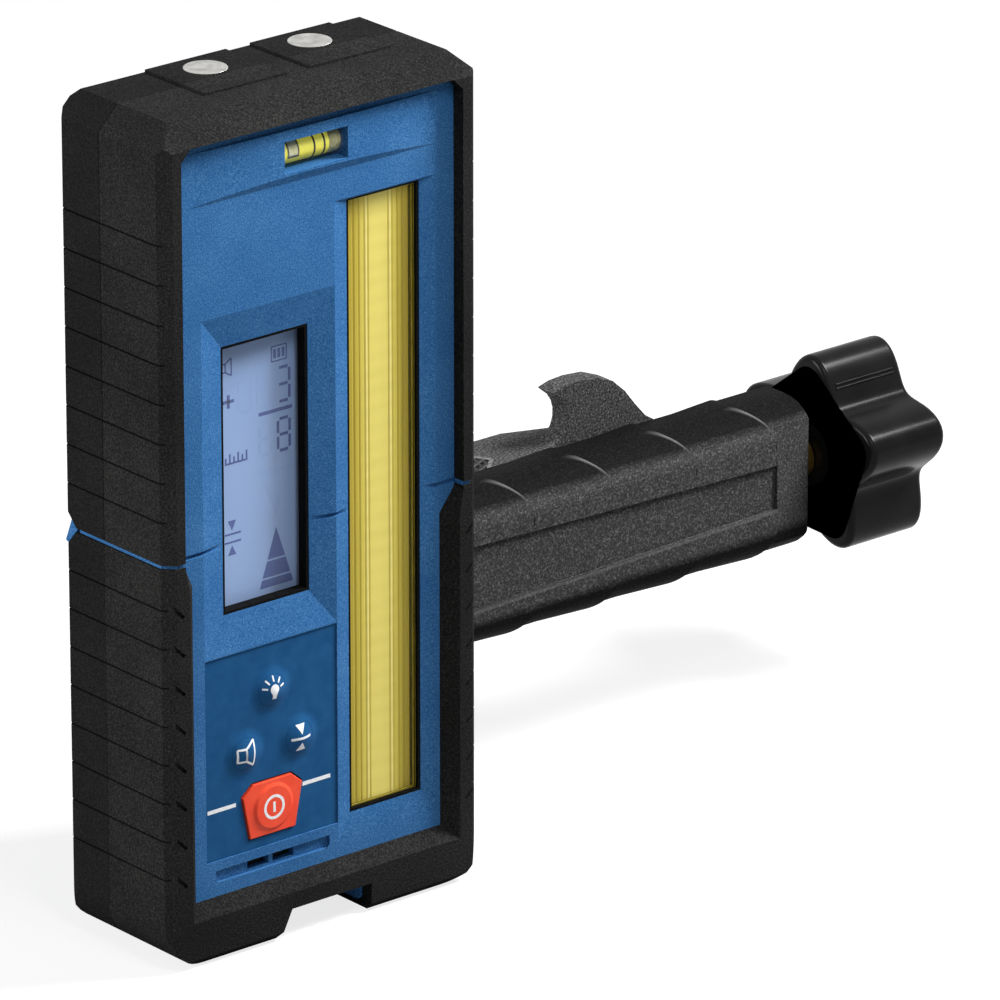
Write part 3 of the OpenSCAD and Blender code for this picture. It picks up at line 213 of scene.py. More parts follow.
def patchy(name, size, detail, codes, values, at=(0.3, 0.7), rough=(), bump=(), cloud=(), coarse=0.5):
    """A material whose shades lie in patches of a size in mm, with its shader's plain values.

    The patches can set its roughness and stand up as a bump, and be shifted by a larger cloud.
    """
    material, tree, shader, place = new_material(name)
    grain = {"Vector": place, "Scale": 1 / (size * mm), "Detail": detail, "Roughness": coarse}
    patch = mottle = add(tree, "TexNoise", grain)
    if cloud:
        size, detail, share = cloud
        drift = add(tree, "TexNoise", {"Vector": place, "Scale": 1 / (size * mm), "Detail": detail})
        shifted = {0: drift, 1: share, 2: patch}
        mottle = add(tree, "Math", shifted, operation="MULTIPLY_ADD")
    colour = add(tree, "ValToRGB", {"Fac": mottle}, list(zip(at, codes)))
    feed(shader, {"Base Color": colour, **values})
    if rough:
        spread = add(tree, "MapRange", {"Value": patch, "To Min": rough[0], "To Max": rough[1]})
        feed(shader, {"Roughness": spread})
    if bump:
        pits = add(tree, "Bump", {"Height": patch, "Strength": bump[0], "Distance": bump[1] * mm})
        feed(shader, {"Normal": pits})
    return material


def start_piece(name, primitive, **how):
    """A primitive under a piece's name, with nothing else selected."""
    bpy.ops.object.select_all(action="DESELECT")
    primitive(**how)
    piece = bpy.context.object
    piece.name = piece.data.name = name
    return piece


# ABS from a spark-eroded mould: an even satin blue, mottled by a grain. The grain is drawn a third of a
# millimetre wide, coarser than the real one, so that it shows
blues = ("#25578C", "#34669B", "#5285B8")
blue_abs = patchy(
    "moulded_blue_abs", 0.32, 2, blues, {"Specular IOR Level": 0.03}, at=(0.42, 0.62, 0.85),
    rough=(0.62, 0.45), bump=(0.35, 0.08), cloud=(16, 2, 0.25), coarse=0.6)
back_y = 11.4
rear_shell = cad_copy("rear_housing", "rear_shell")
soften(rear_shell, 0.25, 2, 40, lambda m, length: m.y > back_y + 0.1 and length > 3)
flat_faces_flat(rear_shell)
seat(rear_shell, "receiver", "blue_housing", blue_abs, "rear_housing")
# A blue wedge stands in each sighting notch, level with the centre mark: its corners as depth and height, by
# the corner of the cube that it is drawn from
wedge_x, wedge_half = 37.7, 1.5
wedge_corners = {(-1, -1): (8.8, 85.25), (-1, 1): (10.7, 87.3), (1, 1): (12.8, 82.3), (1, -1): (11.9, 81.8)}
for name, side in (("sight_wedge_left", -1), ("sight_wedge_right", 1)):
    wedge = start_piece(name, bpy.ops.mesh.primitive_cube_add, size=2, location=(0, 0, 0))
    for vert in wedge.data.vertices:
        depth, height = wedge_corners[round(vert.co.y), round(vert.co.z)]
        vert.co = Vector((side * (wedge_x + wedge_half * vert.co.x), depth, height)) * mm
    open_mesh()
    bpy.ops.mesh.normals_make_consistent(inside=False)
    bpy.ops.object.mode_set(mode="OBJECT")
    soften(wedge, 0.25, 2, 30, lambda m, length: length > 2)
    flat_faces_flat(wedge)
    seat(wedge, "receiver", "blue_housing", blue_abs)


# Front shell: the same blue ABS, with the sunken panel, the sloping bezels of the display and the window, the
# brow round the vial and the line of the centre mark. Four screws pull it to the rear shell.
front_shell = cad_copy("front_housing", "front_shell")
panel_y, brow_low, brow_slope = -17, 156.5, 2.2
for vert in front_shell.data.vertices:
    if vert.co.y < (panel_y - 0.02) * mm and abs(vert.co.z - brow_low * mm) < 0.01 * mm:
        vert.co.z += brow_slope * (panel_y * mm - vert.co.y)
# The line of the centre mark runs down the slopes to the openings
mark_floor, mark_low, mark_high, bezel_slope = -16.6, 84.8, 85.7, 0.236
mark_ends = {-26.59: -22.6, 3.19: -0.8, 6.68: 7.9, 28.82: 27.6}
for vert in front_shell.data.vertices:
    x, y, z = vert.co / mm
    if abs(y - mark_floor) < 0.01 and mark_low - 0.01 < z < mark_high + 0.01:
        for old_x, new_x in mark_ends.items():
            if abs(x - old_x) < 0.01:
                vert.co.x = new_x * mm
                vert.co.y = (mark_floor + bezel_slope * abs(new_x - old_x)) * mm
speaker_x, speaker_half, speaker_top, speaker_y, rim_y = -11.7, 14, 16, -16.2, -14.9


def speaker_corner(m, length):
    """True at the short corner edges of the loudspeaker's slot."""
    return m.z < speaker_top and m.y < speaker_y and abs(m.x - speaker_x) > speaker_half and length < 1


soften(front_shell, 1.2, 4, 60, speaker_corner)
soften(front_shell, 0.3, 2, 25, lambda m, length: m.y < rim_y and length > 3)
flat_faces_flat(front_shell, 10)
seat(front_shell, "receiver", "blue_housing", blue_abs, "front_housing")


# Bumper: four mouldings of soft black rubber round the two shells, split at the parting plane and at the
# centre mark, with grip grooves down the sides.
# Moulded rubber: near-black and dull, with a grain that catches the light, and more even at the rear. The
# grain is drawn under half a millimetre wide, so that it shows
rubber = dict(at=(0.45, 0.65, 0.9), rough=(0.75, 0.55), bump=(0.5, 0.1), cloud=(25, 3, 0.3), coarse=0.6)
unshiny = {"Specular IOR Level": 0}
front_shades, rear_shades = ("#1B1B1B", "#252525", "#3A3A39"), ("#191919", "#202020", "#2D2D2D")
front_rubber = patchy("moulded_black_rubber", 0.4, 2, front_shades, unshiny, **rubber)
rear_rubber = patchy("moulded_black_rubber_smoother", 0.4, 2, rear_shades, unshiny, **rubber)
# Each grip groove is deep and narrow, runs out over the corners and has a rounded lower lip, and the front
# rim narrows smoothly at its step
side_x, groove_floor_x, groove_w, narrower, deeper, slack = 39.5, 39.0, 0.8, 0.25, 0.7, 0.02
corner_front, corner_rear, rim_front = -17.6, 11.4, -19.9
step_x, step_z, step_out_x = 31.2, 79.15, 34


def plain_edge(m, length):
    """True at long edges away from the parting plane and from the grooves."""
    by_groove = abs(m.x) > side_x - 1.5 and any(-1 < m.z - lip < 1.2 for lip in lips)
    return length > 4 and abs(m.y) > 1 and not by_groove


def lip_edge(m, length):
    """True along the lower lip of a groove."""
    on_lip = any(abs(m.z - lip - narrower) < slack for lip in lips)
    return length > 4 and abs(m.x) > side_x - slack and on_lip


for node in ("rear_bumper_upper", "rear_bumper_lower", "front_bumper_upper", "front_bumper_lower"):
    bumper = cad_copy(node, node.replace("bumper", "rubber"))
    spots = [v.co / mm for v in bumper.data.vertices]
    floors = sorted({round(p.z, 2) for p in spots if abs(abs(p.x) - groove_floor_x) < slack})
    lips = [a for a, b in zip(floors, floors[1:]) if b - a < groove_w]
    for vert, p in zip(bumper.data.vertices, spots):
        if abs(abs(p.x) - groove_floor_x) < slack:
            vert.co.x -= math.copysign(deeper * mm, p.x)
            vert.co.y += deeper * mm * ((p.y > corner_rear) - (p.y < corner_front))
        if abs(p.x) > groove_floor_x - slack and any(abs(p.z - lip) < slack for lip in lips):
            vert.co.z += narrower * mm
        if p.y < rim_front and abs(abs(p.x) - step_x) < slack and abs(p.z - step_z) < 0.05:
            vert.co.x = math.copysign(step_out_x * mm, p.x)
    soften(bumper, 0.7, 2, 60, lambda m, length: abs(m.y) < 0.1 and length > 4)
    soften(bumper, 0.4, 2, 60, lip_edge)
    soften(bumper, 0.5, 4, 25, plain_edge)
    flat_faces_flat(bumper, 25)
    seat(bumper, "receiver", "bumper_rubber", front_rubber if "front" in node else rear_rubber, node)


# Magnets: two nickel-plated discs with a rounded edge, pressed into the top. They hold the receiver up on any
# steel face.
# Nickel plate, turned: bright and warm grey, with duller patches a few millimetres across
nickel = patchy(
    "turned_nickel_plate", 2.5, 4, ("#A4A3A0", "#C4C3BF"), {"Metallic": 1}, (0.35, 0.65), (0.28, 0.42))
magnet_top = 175
magnets = cad_copy("top_magnets", "magnet_discs")
soften(magnets, 0.3, 3, 40, lambda m, length: m.z > magnet_top - 0.5)
flat_faces_flat(magnets)
seat(magnets, "receiver", "magnet_nickel", nickel, "top_magnets")


# Boards: the main board behind the panel and the photodiode board behind the window, in green solder mask,
# with the four key switches and the buzzer soldered on.
def dress(node, material):
    """A CAD node keeps its shape and takes a material."""
    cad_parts[node].data.materials[0] = material


# Solder mask over copper: glossy green, paler over the tracks, which run in rows half a millimetre apart
mask_green, tree, shader, place = new_material("green_solder_mask")
greens = {"Color1": linear("#0E4A2C"), "Color2": linear("#135636"), "Mortar": linear("#3C8A5C")}
tracks = add(tree, "TexBrick", {"Vector": place, "Scale": 1 / (2 * mm), "Mortar Size": 0.04, **greens})
feed(shader, {"Base Color": tracks, "Roughness": 0.3})
for node in ("main_board", "sensor_board"):
    dress(node, mask_green)
# Nylon switch cases: dull grey, slightly uneven
dress("key_switches", patchy("grey_switch_nylon", 1.5, 2, ("#63666A", "#777A7E"), {"Roughness": 0.55}))
# Moulded polypropylene, black: satin, with a fine grain
satin = {"Roughness": 0.45, "Specular IOR Level": 0.1}
black_pp = patchy("black_polypropylene", 0.5, 2, ("#141414", "#232323"), satin, (0.3, 0.75), bump=(0.3, 0.08))
dress("buzzer", black_pp)


# Display: a liquid-crystal module on the main board, a black gasket round it and a clear lens in front. Its
# marks are dark ink in the glass: two numerals at a bar, a rule, arrows and a beam wedge.
def bar(start, end, width):
    """The corners of a straight stroke, in mm."""
    start, end = Vector(start), Vector(end)
    side = (end - start).orthogonal().normalized() * width / 2
    return [start + side, end + side, end - side, start - side]


def printed(name, outlines, height, thickness=0.03):
    """Thin flat marks from outlines in mm, laid on a surface whose Y at a place is given."""
    piece = start_piece(name, bpy.ops.mesh.primitive_circle_add, vertices=len(outlines[0]), fill_type="NGON")
    bpy.ops.object.mode_set(mode="EDIT")
    bpy.ops.mesh.select_mode(type="VERT")
    for i, outline in enumerate(outlines):
        if i:
            bpy.ops.mesh.primitive_circle_add(vertices=len(outline), fill_type="NGON")
        mesh = bmesh.from_edit_mesh(piece.data)
        for vert, spot in zip([v for v in mesh.verts if v.select], outline):
            vert.co = Vector((spot[0], 0, spot[1])) * mm
        bmesh.update_edit_mesh(piece.data)
    bpy.ops.mesh.select_all(action="SELECT")
    bpy.ops.mesh.quads_convert_to_tris()
    bpy.ops.mesh.subdivide(number_cuts=6)
    mesh = bmesh.from_edit_mesh(piece.data)
    for vert in mesh.verts:
        vert.co.y = (height(vert.co.x / mm, vert.co.z / mm) - thickness) * mm
    bmesh.update_edit_mesh(piece.data)
    bpy.ops.mesh.normals_make_consistent(inside=False)
    mesh = bmesh.from_edit_mesh(piece.data)
    for face in mesh.faces:
        if face.normal.y > 0:
            face.normal_flip()
    bmesh.update_edit_mesh(piece.data)
    bpy.ops.object.mode_set(mode="OBJECT")
    solid = piece.modifiers.new("thickness", "SOLIDIFY")
    solid.thickness = thickness * mm
    solid.offset = -1
    bpy.ops.object.modifier_apply(modifier=solid.name)
    return piece


def block(name, low, high, rounding):
    """A cube primitive set between two corners, in mm, with its edges rounded."""
    low, high = Vector(low), Vector(high)
    size, place = (high - low) * mm, (low + high) / 2 * mm
    piece = start_piece(name, bpy.ops.mesh.primitive_cube_add, size=1, location=place, scale=size)
    bpy.ops.object.transform_apply()
    soften(piece, rounding, 2, 30, lambda m, length: True)
    flat_faces_flat(piece)
    return piece


# Liquid-crystal cell: a pale blue-grey field that is a little lighter high on the left
lcd_field, tree, shader, place = new_material("liquid_crystal_glass")
spread = add(tree, "Mapping", {"Vector": place, "Location": (0.3, 0, -1.05), "Scale": (14, 0, 12)})
fade = add(tree, "TexGradient", {"Vector": spread}, gradient_type="SPHERICAL")
film = add(tree, "TexNoise", {"Vector": place, "Scale": 1 / (30 * mm), "Detail": 2})
mixed = add(tree, "Math", {0: film, 1: 0.15, 2: fade.outputs["Fac"]}, operation="MULTIPLY_ADD")
pale_blues = ((0, "#6F92C8"), (0.45, "#7C9ED2"), (0.9, "#90AEDC"))
colour = add(tree, "ValToRGB", {"Fac": mixed}, pale_blues)
feed(shader, {"Base Color": colour, "Roughness": 0.35, "Specular IOR Level": 0.1})
low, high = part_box("lcd_module")
lcd_face = low.y / mm + 0.1
lcd = block("lcd_cell", (low.x / mm, lcd_face, low.z / mm), high / mm, 0.2)
seat(lcd, "receiver", "lcd_glass", lcd_field, "lcd_module")

# Dichroic ink behind the glass: indigo, a little uneven
dull = {"Roughness": 0.5, "Specular IOR Level": 0.1}
lcd_ink = patchy("liquid_crystal_segment", 3, 2, ("#2C478F", "#36529C"), dull)


def digit(left, low, width, tall, lit, stroke=0.62):
    """The lit bars of a seven-segment numeral, in mm."""
    right, high, middle = left + width, low + tall, low + tall / 2
    gap = stroke * 0.65
    bars = {
        "a": ((left + gap, high), (right - gap, high)),
        "b": ((right, high - gap), (right, middle + gap)),
        "c": ((right, middle - gap), (right, low + gap)),
        "d": ((left + gap, low), (right - gap, low)),
        "e": ((left, middle - gap), (left, low + gap)),
        "f": ((left, high - gap), (left, middle + gap)),
        "g": ((left + gap, middle), (right - gap, middle)),
    }
    return [bar(*bars[segment], stroke) for segment in lit]


marks = digit(-5.6, 109.9, 2.9, 7, "abcdg") + digit(-5.6, 99.7, 2.9, 6.6, "abcdefg")
marks += [bar((-10.4, 108.3), (-2.1, 108.3), 0.75)]
marks += [bar((-19.3, 112.8), (-16.5, 112.8), 0.7), bar((-17.9, 111.4), (-17.9, 114.2), 0.7)]
cone = [(-19.4, 119), (-18.6, 119), (-17.1, 118.1), (-17.1, 121.7), (-18.6, 120.8), (-19.4, 120.8)]
marks += [bar(a, b, 0.32) for a, b in zip(cone, cone[1:] + cone[:1])]
marks += [bar((-18.6, 119), (-18.6, 120.8), 0.3)]
cell = [(-7.1, 118.5), (-3.4, 118.5), (-3.4, 121.6), (-7.1, 121.6)]
marks += [bar(a, b, 0.3) for a, b in zip(cell, cell[1:] + cell[:1])]
marks += [bar((x, 119.1), (x, 121), 0.7) for x in (-6.3, -5.25, -4.2)]
marks += [bar((-18.9, 99.9), (-13.3, 99.9), 0.4)]
marks += [bar((-18.7 + 1.04 * i, 99.9), (-18.7 + 1.04 * i, 101.9 if i % 2 else 101.2), 0.4) for i in range(6)]
marks += [[(-18.3, 88), (-16.3, 88), (-17.3, 85.9)], [(-18.3, 80.8), (-16.3, 80.8), (-17.3, 82.8)]]
marks += [bar((-19.1, 85.2), (-15.1, 85.2), 0.4), bar((-19.1, 83.5), (-15.1, 83.5), 0.4)]
beam_x, beam_top, beam_slope = -6.3, 84, 0.343
for low_z, high_z in ((71.8, 73.5), (73.9, 77.2), (77.6, beam_top)):
    wide, narrow = beam_slope * (beam_top - low_z), beam_slope * (beam_top - high_z)
    corners = [(beam_x - wide, low_z), (beam_x + wide, low_z), (beam_x + narrow, high_z)]
    marks += [corners + ([(beam_x - narrow, high_z)] if narrow else [])]
ink = printed("lcd_marks", marks, lambda x, z: lcd_face)
seat(ink, "receiver", "lcd_glass", lcd_ink)

# Segments that are off: nearly the blue of the field, so that they show only faintly
lcd_ghost = patchy("liquid_crystal_unlit_segment", 6, 2, ("#7C9ED2", "#84A6D8"), {"Roughness": 0.4})
off = digit(-15.2, 109.9, 3, 7, "abcdefg") + digit(-10.6, 109.9, 3, 7, "abcdefg")
off += digit(-10.2, 99.7, 2.9, 6.6, "abcdefg")
off += [[(-10.4, 96.6), (-2.2, 96.6), (-6.3, 86)]]
ghosts = printed("lcd_unlit_marks", off, lambda x, z: lcd_face, 0.02)
seat(ghosts, "receiver", "lcd_glass", lcd_ghost)

# Cast acrylic, polished: clear and colourless, so that only its gloss shows
clear = {"Alpha": 0.06, "Roughness": 0.06, "IOR": 1.49}
clear_acrylic = patchy("clear_polished_acrylic", 20, 1, ("#DCE4F2", "#E8EEF8"), clear)
dress("display_lens", clear_acrylic)

# Foamed black rubber: soot black and dull
dull = {"Roughness": 0.6, "Specular IOR Level": 0.02}
gasket_black = patchy("black_gasket_rubber", 0.6, 2, ("#0B0B0B", "#191919"), dull, (0.3, 0.75))
for node in ("display_gasket", "window_gasket", "housing_seal"):
    dress(node, gasket_black)


# Reception window: a yellow acrylic light guide with upright ribs, in front of the photodiodes, behind a
# clear yellow pane that sits in its own gasket.
def close_mesh(angle):
    """Turns the open mesh's faces outwards, closes it and shades it smooth below an angle."""
    bpy.ops.mesh.normals_make_consistent(inside=False)
    bpy.ops.object.mode_set(mode="OBJECT")
    bpy.ops.object.shade_smooth_by_angle(angle=math.radians(angle))


low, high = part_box("light_guide")
guide_aside, guide_margin, guide_forward, guide_behind = 0.25, 0.95, 1.5, 1.5
centre_x = (low.x + high.x) / 2 / mm + guide_aside
half = (high.x - low.x) / 2 / mm - guide_margin
# Shares of the half width, the depth there in mm and the colour: a flat middle, a bright rib and finer ribs.
# The colours are painted light: a painted highlight on the bright rib, painted shade in the grooves and
# towards the sides
ribs = [
    (0.0, 0.05, "#EDE07C"),
    (0.3, 0.05, "#EADC78"),
    (0.34, 0.25, "#C6B44E"),
    (0.37, 0.0, "#F6EC96"),
    (0.42, 0.0, "#F2E78E"),
    (0.46, 0.25, "#CDBB54"),
    (0.5, 0.1, "#D9C962"),
    (0.6, 0.1, "#D2C25A"),
    (0.64, 0.28, "#B29F3C"),
    (0.68, 0.1, "#C6B44C"),
    (0.77, 0.12, "#BFAD46"),
    (0.82, 0.3, "#A59234"),
    (0.87, 0.1, "#B8A542"),
    (1.0, 0.15, "#B09D3C"),
]
across = [-rib[0] for rib in reversed(ribs[1:])] + [rib[0] for rib in ribs]
cells = {"x_subdivisions": len(across) - 1, "y_subdivisions": 1}
guide = start_piece("ribbed_light_guide", bpy.ops.mesh.primitive_grid_add, size=1, **cells)
depths = {share: depth for share, depth, code in ribs}
columns = sorted({round(v.co.x, 5) for v in guide.data.vertices})
for vert in guide.data.vertices:
    share = across[columns.index(round(vert.co.x, 5))]
    high_end = vert.co.y > 0
    rib_y = low.y / mm - guide_forward + depths[abs(share)]
    vert.co = Vector((centre_x + share * half, rib_y, 0)) * mm
    vert.co.z = high.z if high_end else low.z
open_mesh()
guide_depth = (guide_forward + guide_behind) * mm
bpy.ops.mesh.extrude_region_move(TRANSFORM_OT_translate={"value": (0, guide_depth, 0)})
bpy.ops.mesh.select_all(action="SELECT")
close_mesh(20)
# Yellow acrylic: brightest along the ribs and darker towards the sides by painted light, with a faint band
# every four millimetres down it, and a painted glow
yellow_acrylic, tree, shader, place = new_material("fluorescent_yellow_acrylic")
axes = add(tree, "SeparateXYZ", {"Vector": place})
inward = add(tree, "Math", {0: axes.outputs["X"], 1: centre_x * mm}, operation="SUBTRACT")
side = add(tree, "Math", {0: inward}, operation="ABSOLUTE")
share = add(tree, "Math", {0: side, 1: 1 / (half * mm)}, operation="MULTIPLY")
rib_light_and_shade = add(tree, "ValToRGB", {"Fac": share}, [(spot, code) for spot, depth, code in ribs])
wavy = {"Vector": place, "Scale": 1 / (12 * mm), "Distortion": 1.5}
bands = add(tree, "TexWave", wavy, bands_direction="Z")
blur = add(tree, "TexNoise", {"Vector": place, "Scale": 1 / (9 * mm), "Detail": 2})
shade = add(tree, "Math", {0: bands.outputs["Fac"], 1: blur}, operation="MULTIPLY")
depth = add(tree, "MapRange", {"Value": shade, "To Min": 0.0, "To Max": 0.22})
tones = {0: depth, 6: rib_light_and_shade, 7: linear("#B7A648")}
toned = add(tree, "Mix", tones, data_type="RGBA")
# Painted glow: the colour is also given off as emission, though the guide is no lamp
feed(shader, {"Base Color": toned.outputs[2], "Emission Color": toned.outputs[2]})
feed(shader, {"Emission Strength": 0.1, "Specular IOR Level": 0.1, "Roughness": 0.35})
seat(guide, "receiver", "guide_acrylic", yellow_acrylic, "light_guide")

low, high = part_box("reception_window")
inset, pane_front, pane_back = 1.5 + 0.05, 1.4, 0.5
pane = block(
    "window_pane",
    (low.x / mm + inset, low.y / mm - pane_front, low.z / mm + inset),
    (high.x / mm - inset, low.y / mm - pane_back, high.z / mm - inset),
    0.25,
)
# Yellow-tinted acrylic sheet: clear enough to show the ribs, with a gloss
clear = {"Alpha": 0.06, "Roughness": 0.05, "IOR": 1.49}
tinted_pane = patchy("yellow_tinted_acrylic_sheet", 25, 1, ("#C9B83A", "#D6C64C"), clear)
seat(pane, "receiver", "window_tint", tinted_pane, "reception_window")
# The sawn edges of the sheet gather the light and glow: painted light, a denser yellow on the edge faces
glowing = {"Alpha": 0.75, "Roughness": 0.15}
pane_edge = patchy("yellow_acrylic_edge", 4, 2, ("#8E8022", "#B5A636"), glowing)
pane.data.materials.append(pane_edge)
for face in pane.data.polygons:
    if 0.05 < abs(face.normal.y) < 0.95:
        face.material_index = 1


# Bubble vial: a clear acrylic barrel of yellow spirit with two black lines, pressed into the brow. A plug
# closes it on the right, and an air bubble stands under the top of its wall.
def drawn_line(name, points):
    """A line drawn through points in mm, as a mesh that is left in edit mode."""
    points = [Vector(p) * mm for p in points]
    piece = start_piece(name, bpy.ops.mesh.primitive_plane_add, size=mm, location=(0, 0, 0))
    bpy.ops.object.mode_set(mode="EDIT")
    bpy.ops.mesh.select_mode(type="VERT")
    bpy.ops.mesh.select_all(action="SELECT")
    bpy.ops.mesh.merge(type="CENTER")
    bpy.ops.transform.translate(value=points[0])
    for a, b in zip(points, points[1:]):
        bpy.ops.mesh.extrude_vertices_move(TRANSFORM_OT_translate={"value": b - a})
    return piece


def turned(name, points, centre, axis, steps=48):
    """A turned piece: a profile through points in mm, in the frame, spun round an axis."""
    piece = drawn_line(name, points)
    bpy.ops.mesh.select_all(action="SELECT")
    bpy.ops.mesh.spin(steps=steps, angle=2 * math.pi, center=Vector(centre) * mm, axis=axis)
    bpy.ops.mesh.select_all(action="SELECT")
    bpy.ops.mesh.remove_doubles(threshold=0.001 * mm)
    close_mesh(35)
    return piece


low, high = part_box("bubble_vial")
vial_y, vial_z = (low.y + high.y) / 2 / mm, (low.z + high.z) / 2 / mm
vial_r = (high.z - low.z) / 2 / mm
left, right = low.x / mm, high.x / mm
bore_r = vial_r - 0.5
left_wall, plug_inner, plug_outer = left + 0.8, right - 3.2, right - 0.3


def barrel(name, ends, radius, chamfer):
    """A cylinder along the vial's axis with chamfered ends."""
    a, b = ends
    profile = [(a, 0), (a, radius - chamfer), (a + chamfer, radius)]
    profile += [(b - chamfer, radius), (b, radius - chamfer), (b, 0)]
    return turned(name, [(x, vial_y, vial_z + r) for x, r in profile], (0, vial_y, vial_z), (1, 0, 0))


tube = barrel("vial_tube", (left, right), vial_r, 0.4)
seat(tube, "receiver", "vial_glass", clear_acrylic, "bubble_vial")
# Dyed spirit: a clear yellow-green with a painted glow, and painted shade that makes it darker low in the
# barrel
spirit, tree, shader, place = new_material("yellow_dyed_spirit")
axes = add(tree, "SeparateXYZ", {"Vector": place})
shade_half = 2.6
rise = {"From Min": (vial_z - shade_half) * mm, "From Max": (vial_z + shade_half) * mm}
level = add(tree, "MapRange", {"Value": axes.outputs["Z"], **rise})
swirl = add(tree, "TexNoise", {"Vector": place, "Scale": 1 / (3 * mm), "Detail": 2})
mixed = add(tree, "Math", {0: swirl, 1: 0.3, 2: level}, operation="MULTIPLY_ADD")
dye_and_shade = ((0.1, "#9A9414"), (0.5, "#D5CC1E"), (0.95, "#ECE652"))
dye_shaded = add(tree, "ValToRGB", {"Fac": mixed}, dye_and_shade)
feed(shader, {"Base Color": dye_shaded, "Emission Color": dye_shaded})
# Painted glow: the spirit gives off its own colour, though it is no lamp
feed(shader, {"Emission Strength": 0.25, "Roughness": 0.08, "IOR": 1.36})
liquid = barrel("vial_spirit", (left_wall, plug_inner), bore_r, 0.2)
seat(liquid, "receiver", "vial_glass", spirit)
# The plug that closes the barrel: frosted acrylic, olive from the spirit behind it
plug_frost = patchy("frosted_acrylic_plug", 0.8, 2, ("#8F8B4A", "#C2BE84"), {"Roughness": 0.3})
plug = barrel("vial_plug", (plug_inner + 0.05, plug_outer), bore_r, 0.3)
seat(plug, "receiver", "vial_glass", plug_frost)
line_half = 0.2
for name, middle in (("vial_line_left", 0.8), ("vial_line_right", 3.3)):
    line = barrel(name, (middle - line_half, middle + line_half), bore_r + 0.08, 0.02)
    seat(line, "receiver", "vial_glass", gasket_black)
# Air under the barrel's wall: pale, with a painted dark rim for the shade where its skin turns away
air = patchy("air_bubble", 2, 1, ("#BDBB80", "#DCDAAE"), {"Roughness": 0.05})
bubble_rim = patchy("bubble_rim", 2, 1, ("#3E390E", "#5C561C"), {"Roughness": 0.1})
for name, ends, grow, floor_z, material in (
    ("vial_bubble_rim", (-6.9, -2.0), 0.03, -1.0, bubble_rim),
    ("vial_bubble", (-6.5, -2.4), 0.06, -0.6, air),
):
    bubble = barrel(name, ends, bore_r + grow, 1.0)
    open_mesh()
    flat = (0, 0, (vial_z + floor_z) * mm)
    bpy.ops.mesh.bisect(plane_co=flat, plane_no=(0, 0, -1), clear_outer=True, use_fill=True)
    bpy.ops.object.mode_set(mode="OBJECT")
    seat(bubble, "receiver", "vial_glass", material)


# Fasteners and battery parts inside: steel screws, springs, contacts and the hinge pin, two cells and the
# blue battery door in the back, which turns on its pin.
# Zinc-plated steel: bright grey, with a faint blue and dull patches
bright_steel = patchy("zinc_plated_steel", 2, 4, ("#9A9CA0", "#C8CACD"), {"Metallic": 1}, rough=(0.25, 0.42))
for node in ("housing_screws", "door_hinge_pin", "battery_contacts", "thrust_collar", "fixing_screw"):
    dress(node, bright_steel)

low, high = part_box("battery_springs")
coil_r, coil_y = (high.y - low.y) / 2 / mm, (low.y + high.y) / 2 / mm
wire_r, coil_turns = 0.35, 3
coils = []
for x in (low.x / mm + coil_r, high.x / mm - coil_r):
    out, upright = ((coil_r - wire_r) * mm, 0, 0), (math.pi / 2, 0, 0)
    wire = {"vertices": 12, "radius": wire_r * mm, "location": out, "rotation": upright}
    coil = start_piece("coil", bpy.ops.mesh.primitive_circle_add, **wire)
    bpy.ops.object.transform_apply()
    wind = coil.modifiers.new("winding", "SCREW")
    wind.angle = 2 * math.pi * coil_turns
    wind.screw_offset = high.z - low.z - 2 * wire_r * mm
    wind.steps = wind.render_steps = 24 * coil_turns
    bpy.ops.object.modifier_apply(modifier=wind.name)
    coil.location = Vector((x, coil_y, low.z / mm + wire_r)) * mm
    bpy.ops.object.transform_apply()
    coils.append(coil)
pick(*reversed(coils))
bpy.ops.object.join()
springs = bpy.context.object
springs.name = springs.data.name = "contact_springs"
open_mesh()
bpy.ops.mesh.fill_holes(sides=12)
close_mesh(40)
seat(springs, "receiver", "bright_steel", bright_steel, "battery_springs")

# Shrink-wrapped cells: a dark film with a copper-coloured band at the button end, and bare tinplate tips
cell_wrap, tree, shader, place = new_material("shrink_wrapped_cell")
low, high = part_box("battery_cells")
axes = add(tree, "SeparateXYZ", {"Vector": place})
rise = add(tree, "MapRange", {"Value": axes.outputs["Z"], "From Min": low.z, "From Max": high.z})
tinplate_and_film = ((0.0, "#A8A9A8"), (0.02, "#1B1B1D"), (0.7, "#222226"))
copper_and_tinplate = ((0.71, "#9C6A3C"), (0.955, "#AF7A48"), (0.965, "#B4B5B4"))
wrap = add(tree, "ValToRGB", {"Fac": rise}, tinplate_and_film + copper_and_tinplate)
creases = add(tree, "TexNoise", {"Vector": place, "Scale": 1 / (5 * mm), "Detail": 3})
rough = add(tree, "MapRange", {"Value": creases, "To Min": 0.2, "To Max": 0.38})
feed(shader, {"Base Color": wrap, "Roughness": rough, "Metallic": 0.4})
dress("battery_cells", cell_wrap)

door = cad_copy("battery_door", "battery_cover")
soften(door, 0.3, 2, 40, lambda m, length: m.y > back_y and length > 4)
flat_faces_flat(door)
seat(door, "battery_door", "blue_housing", blue_abs, "battery_door")


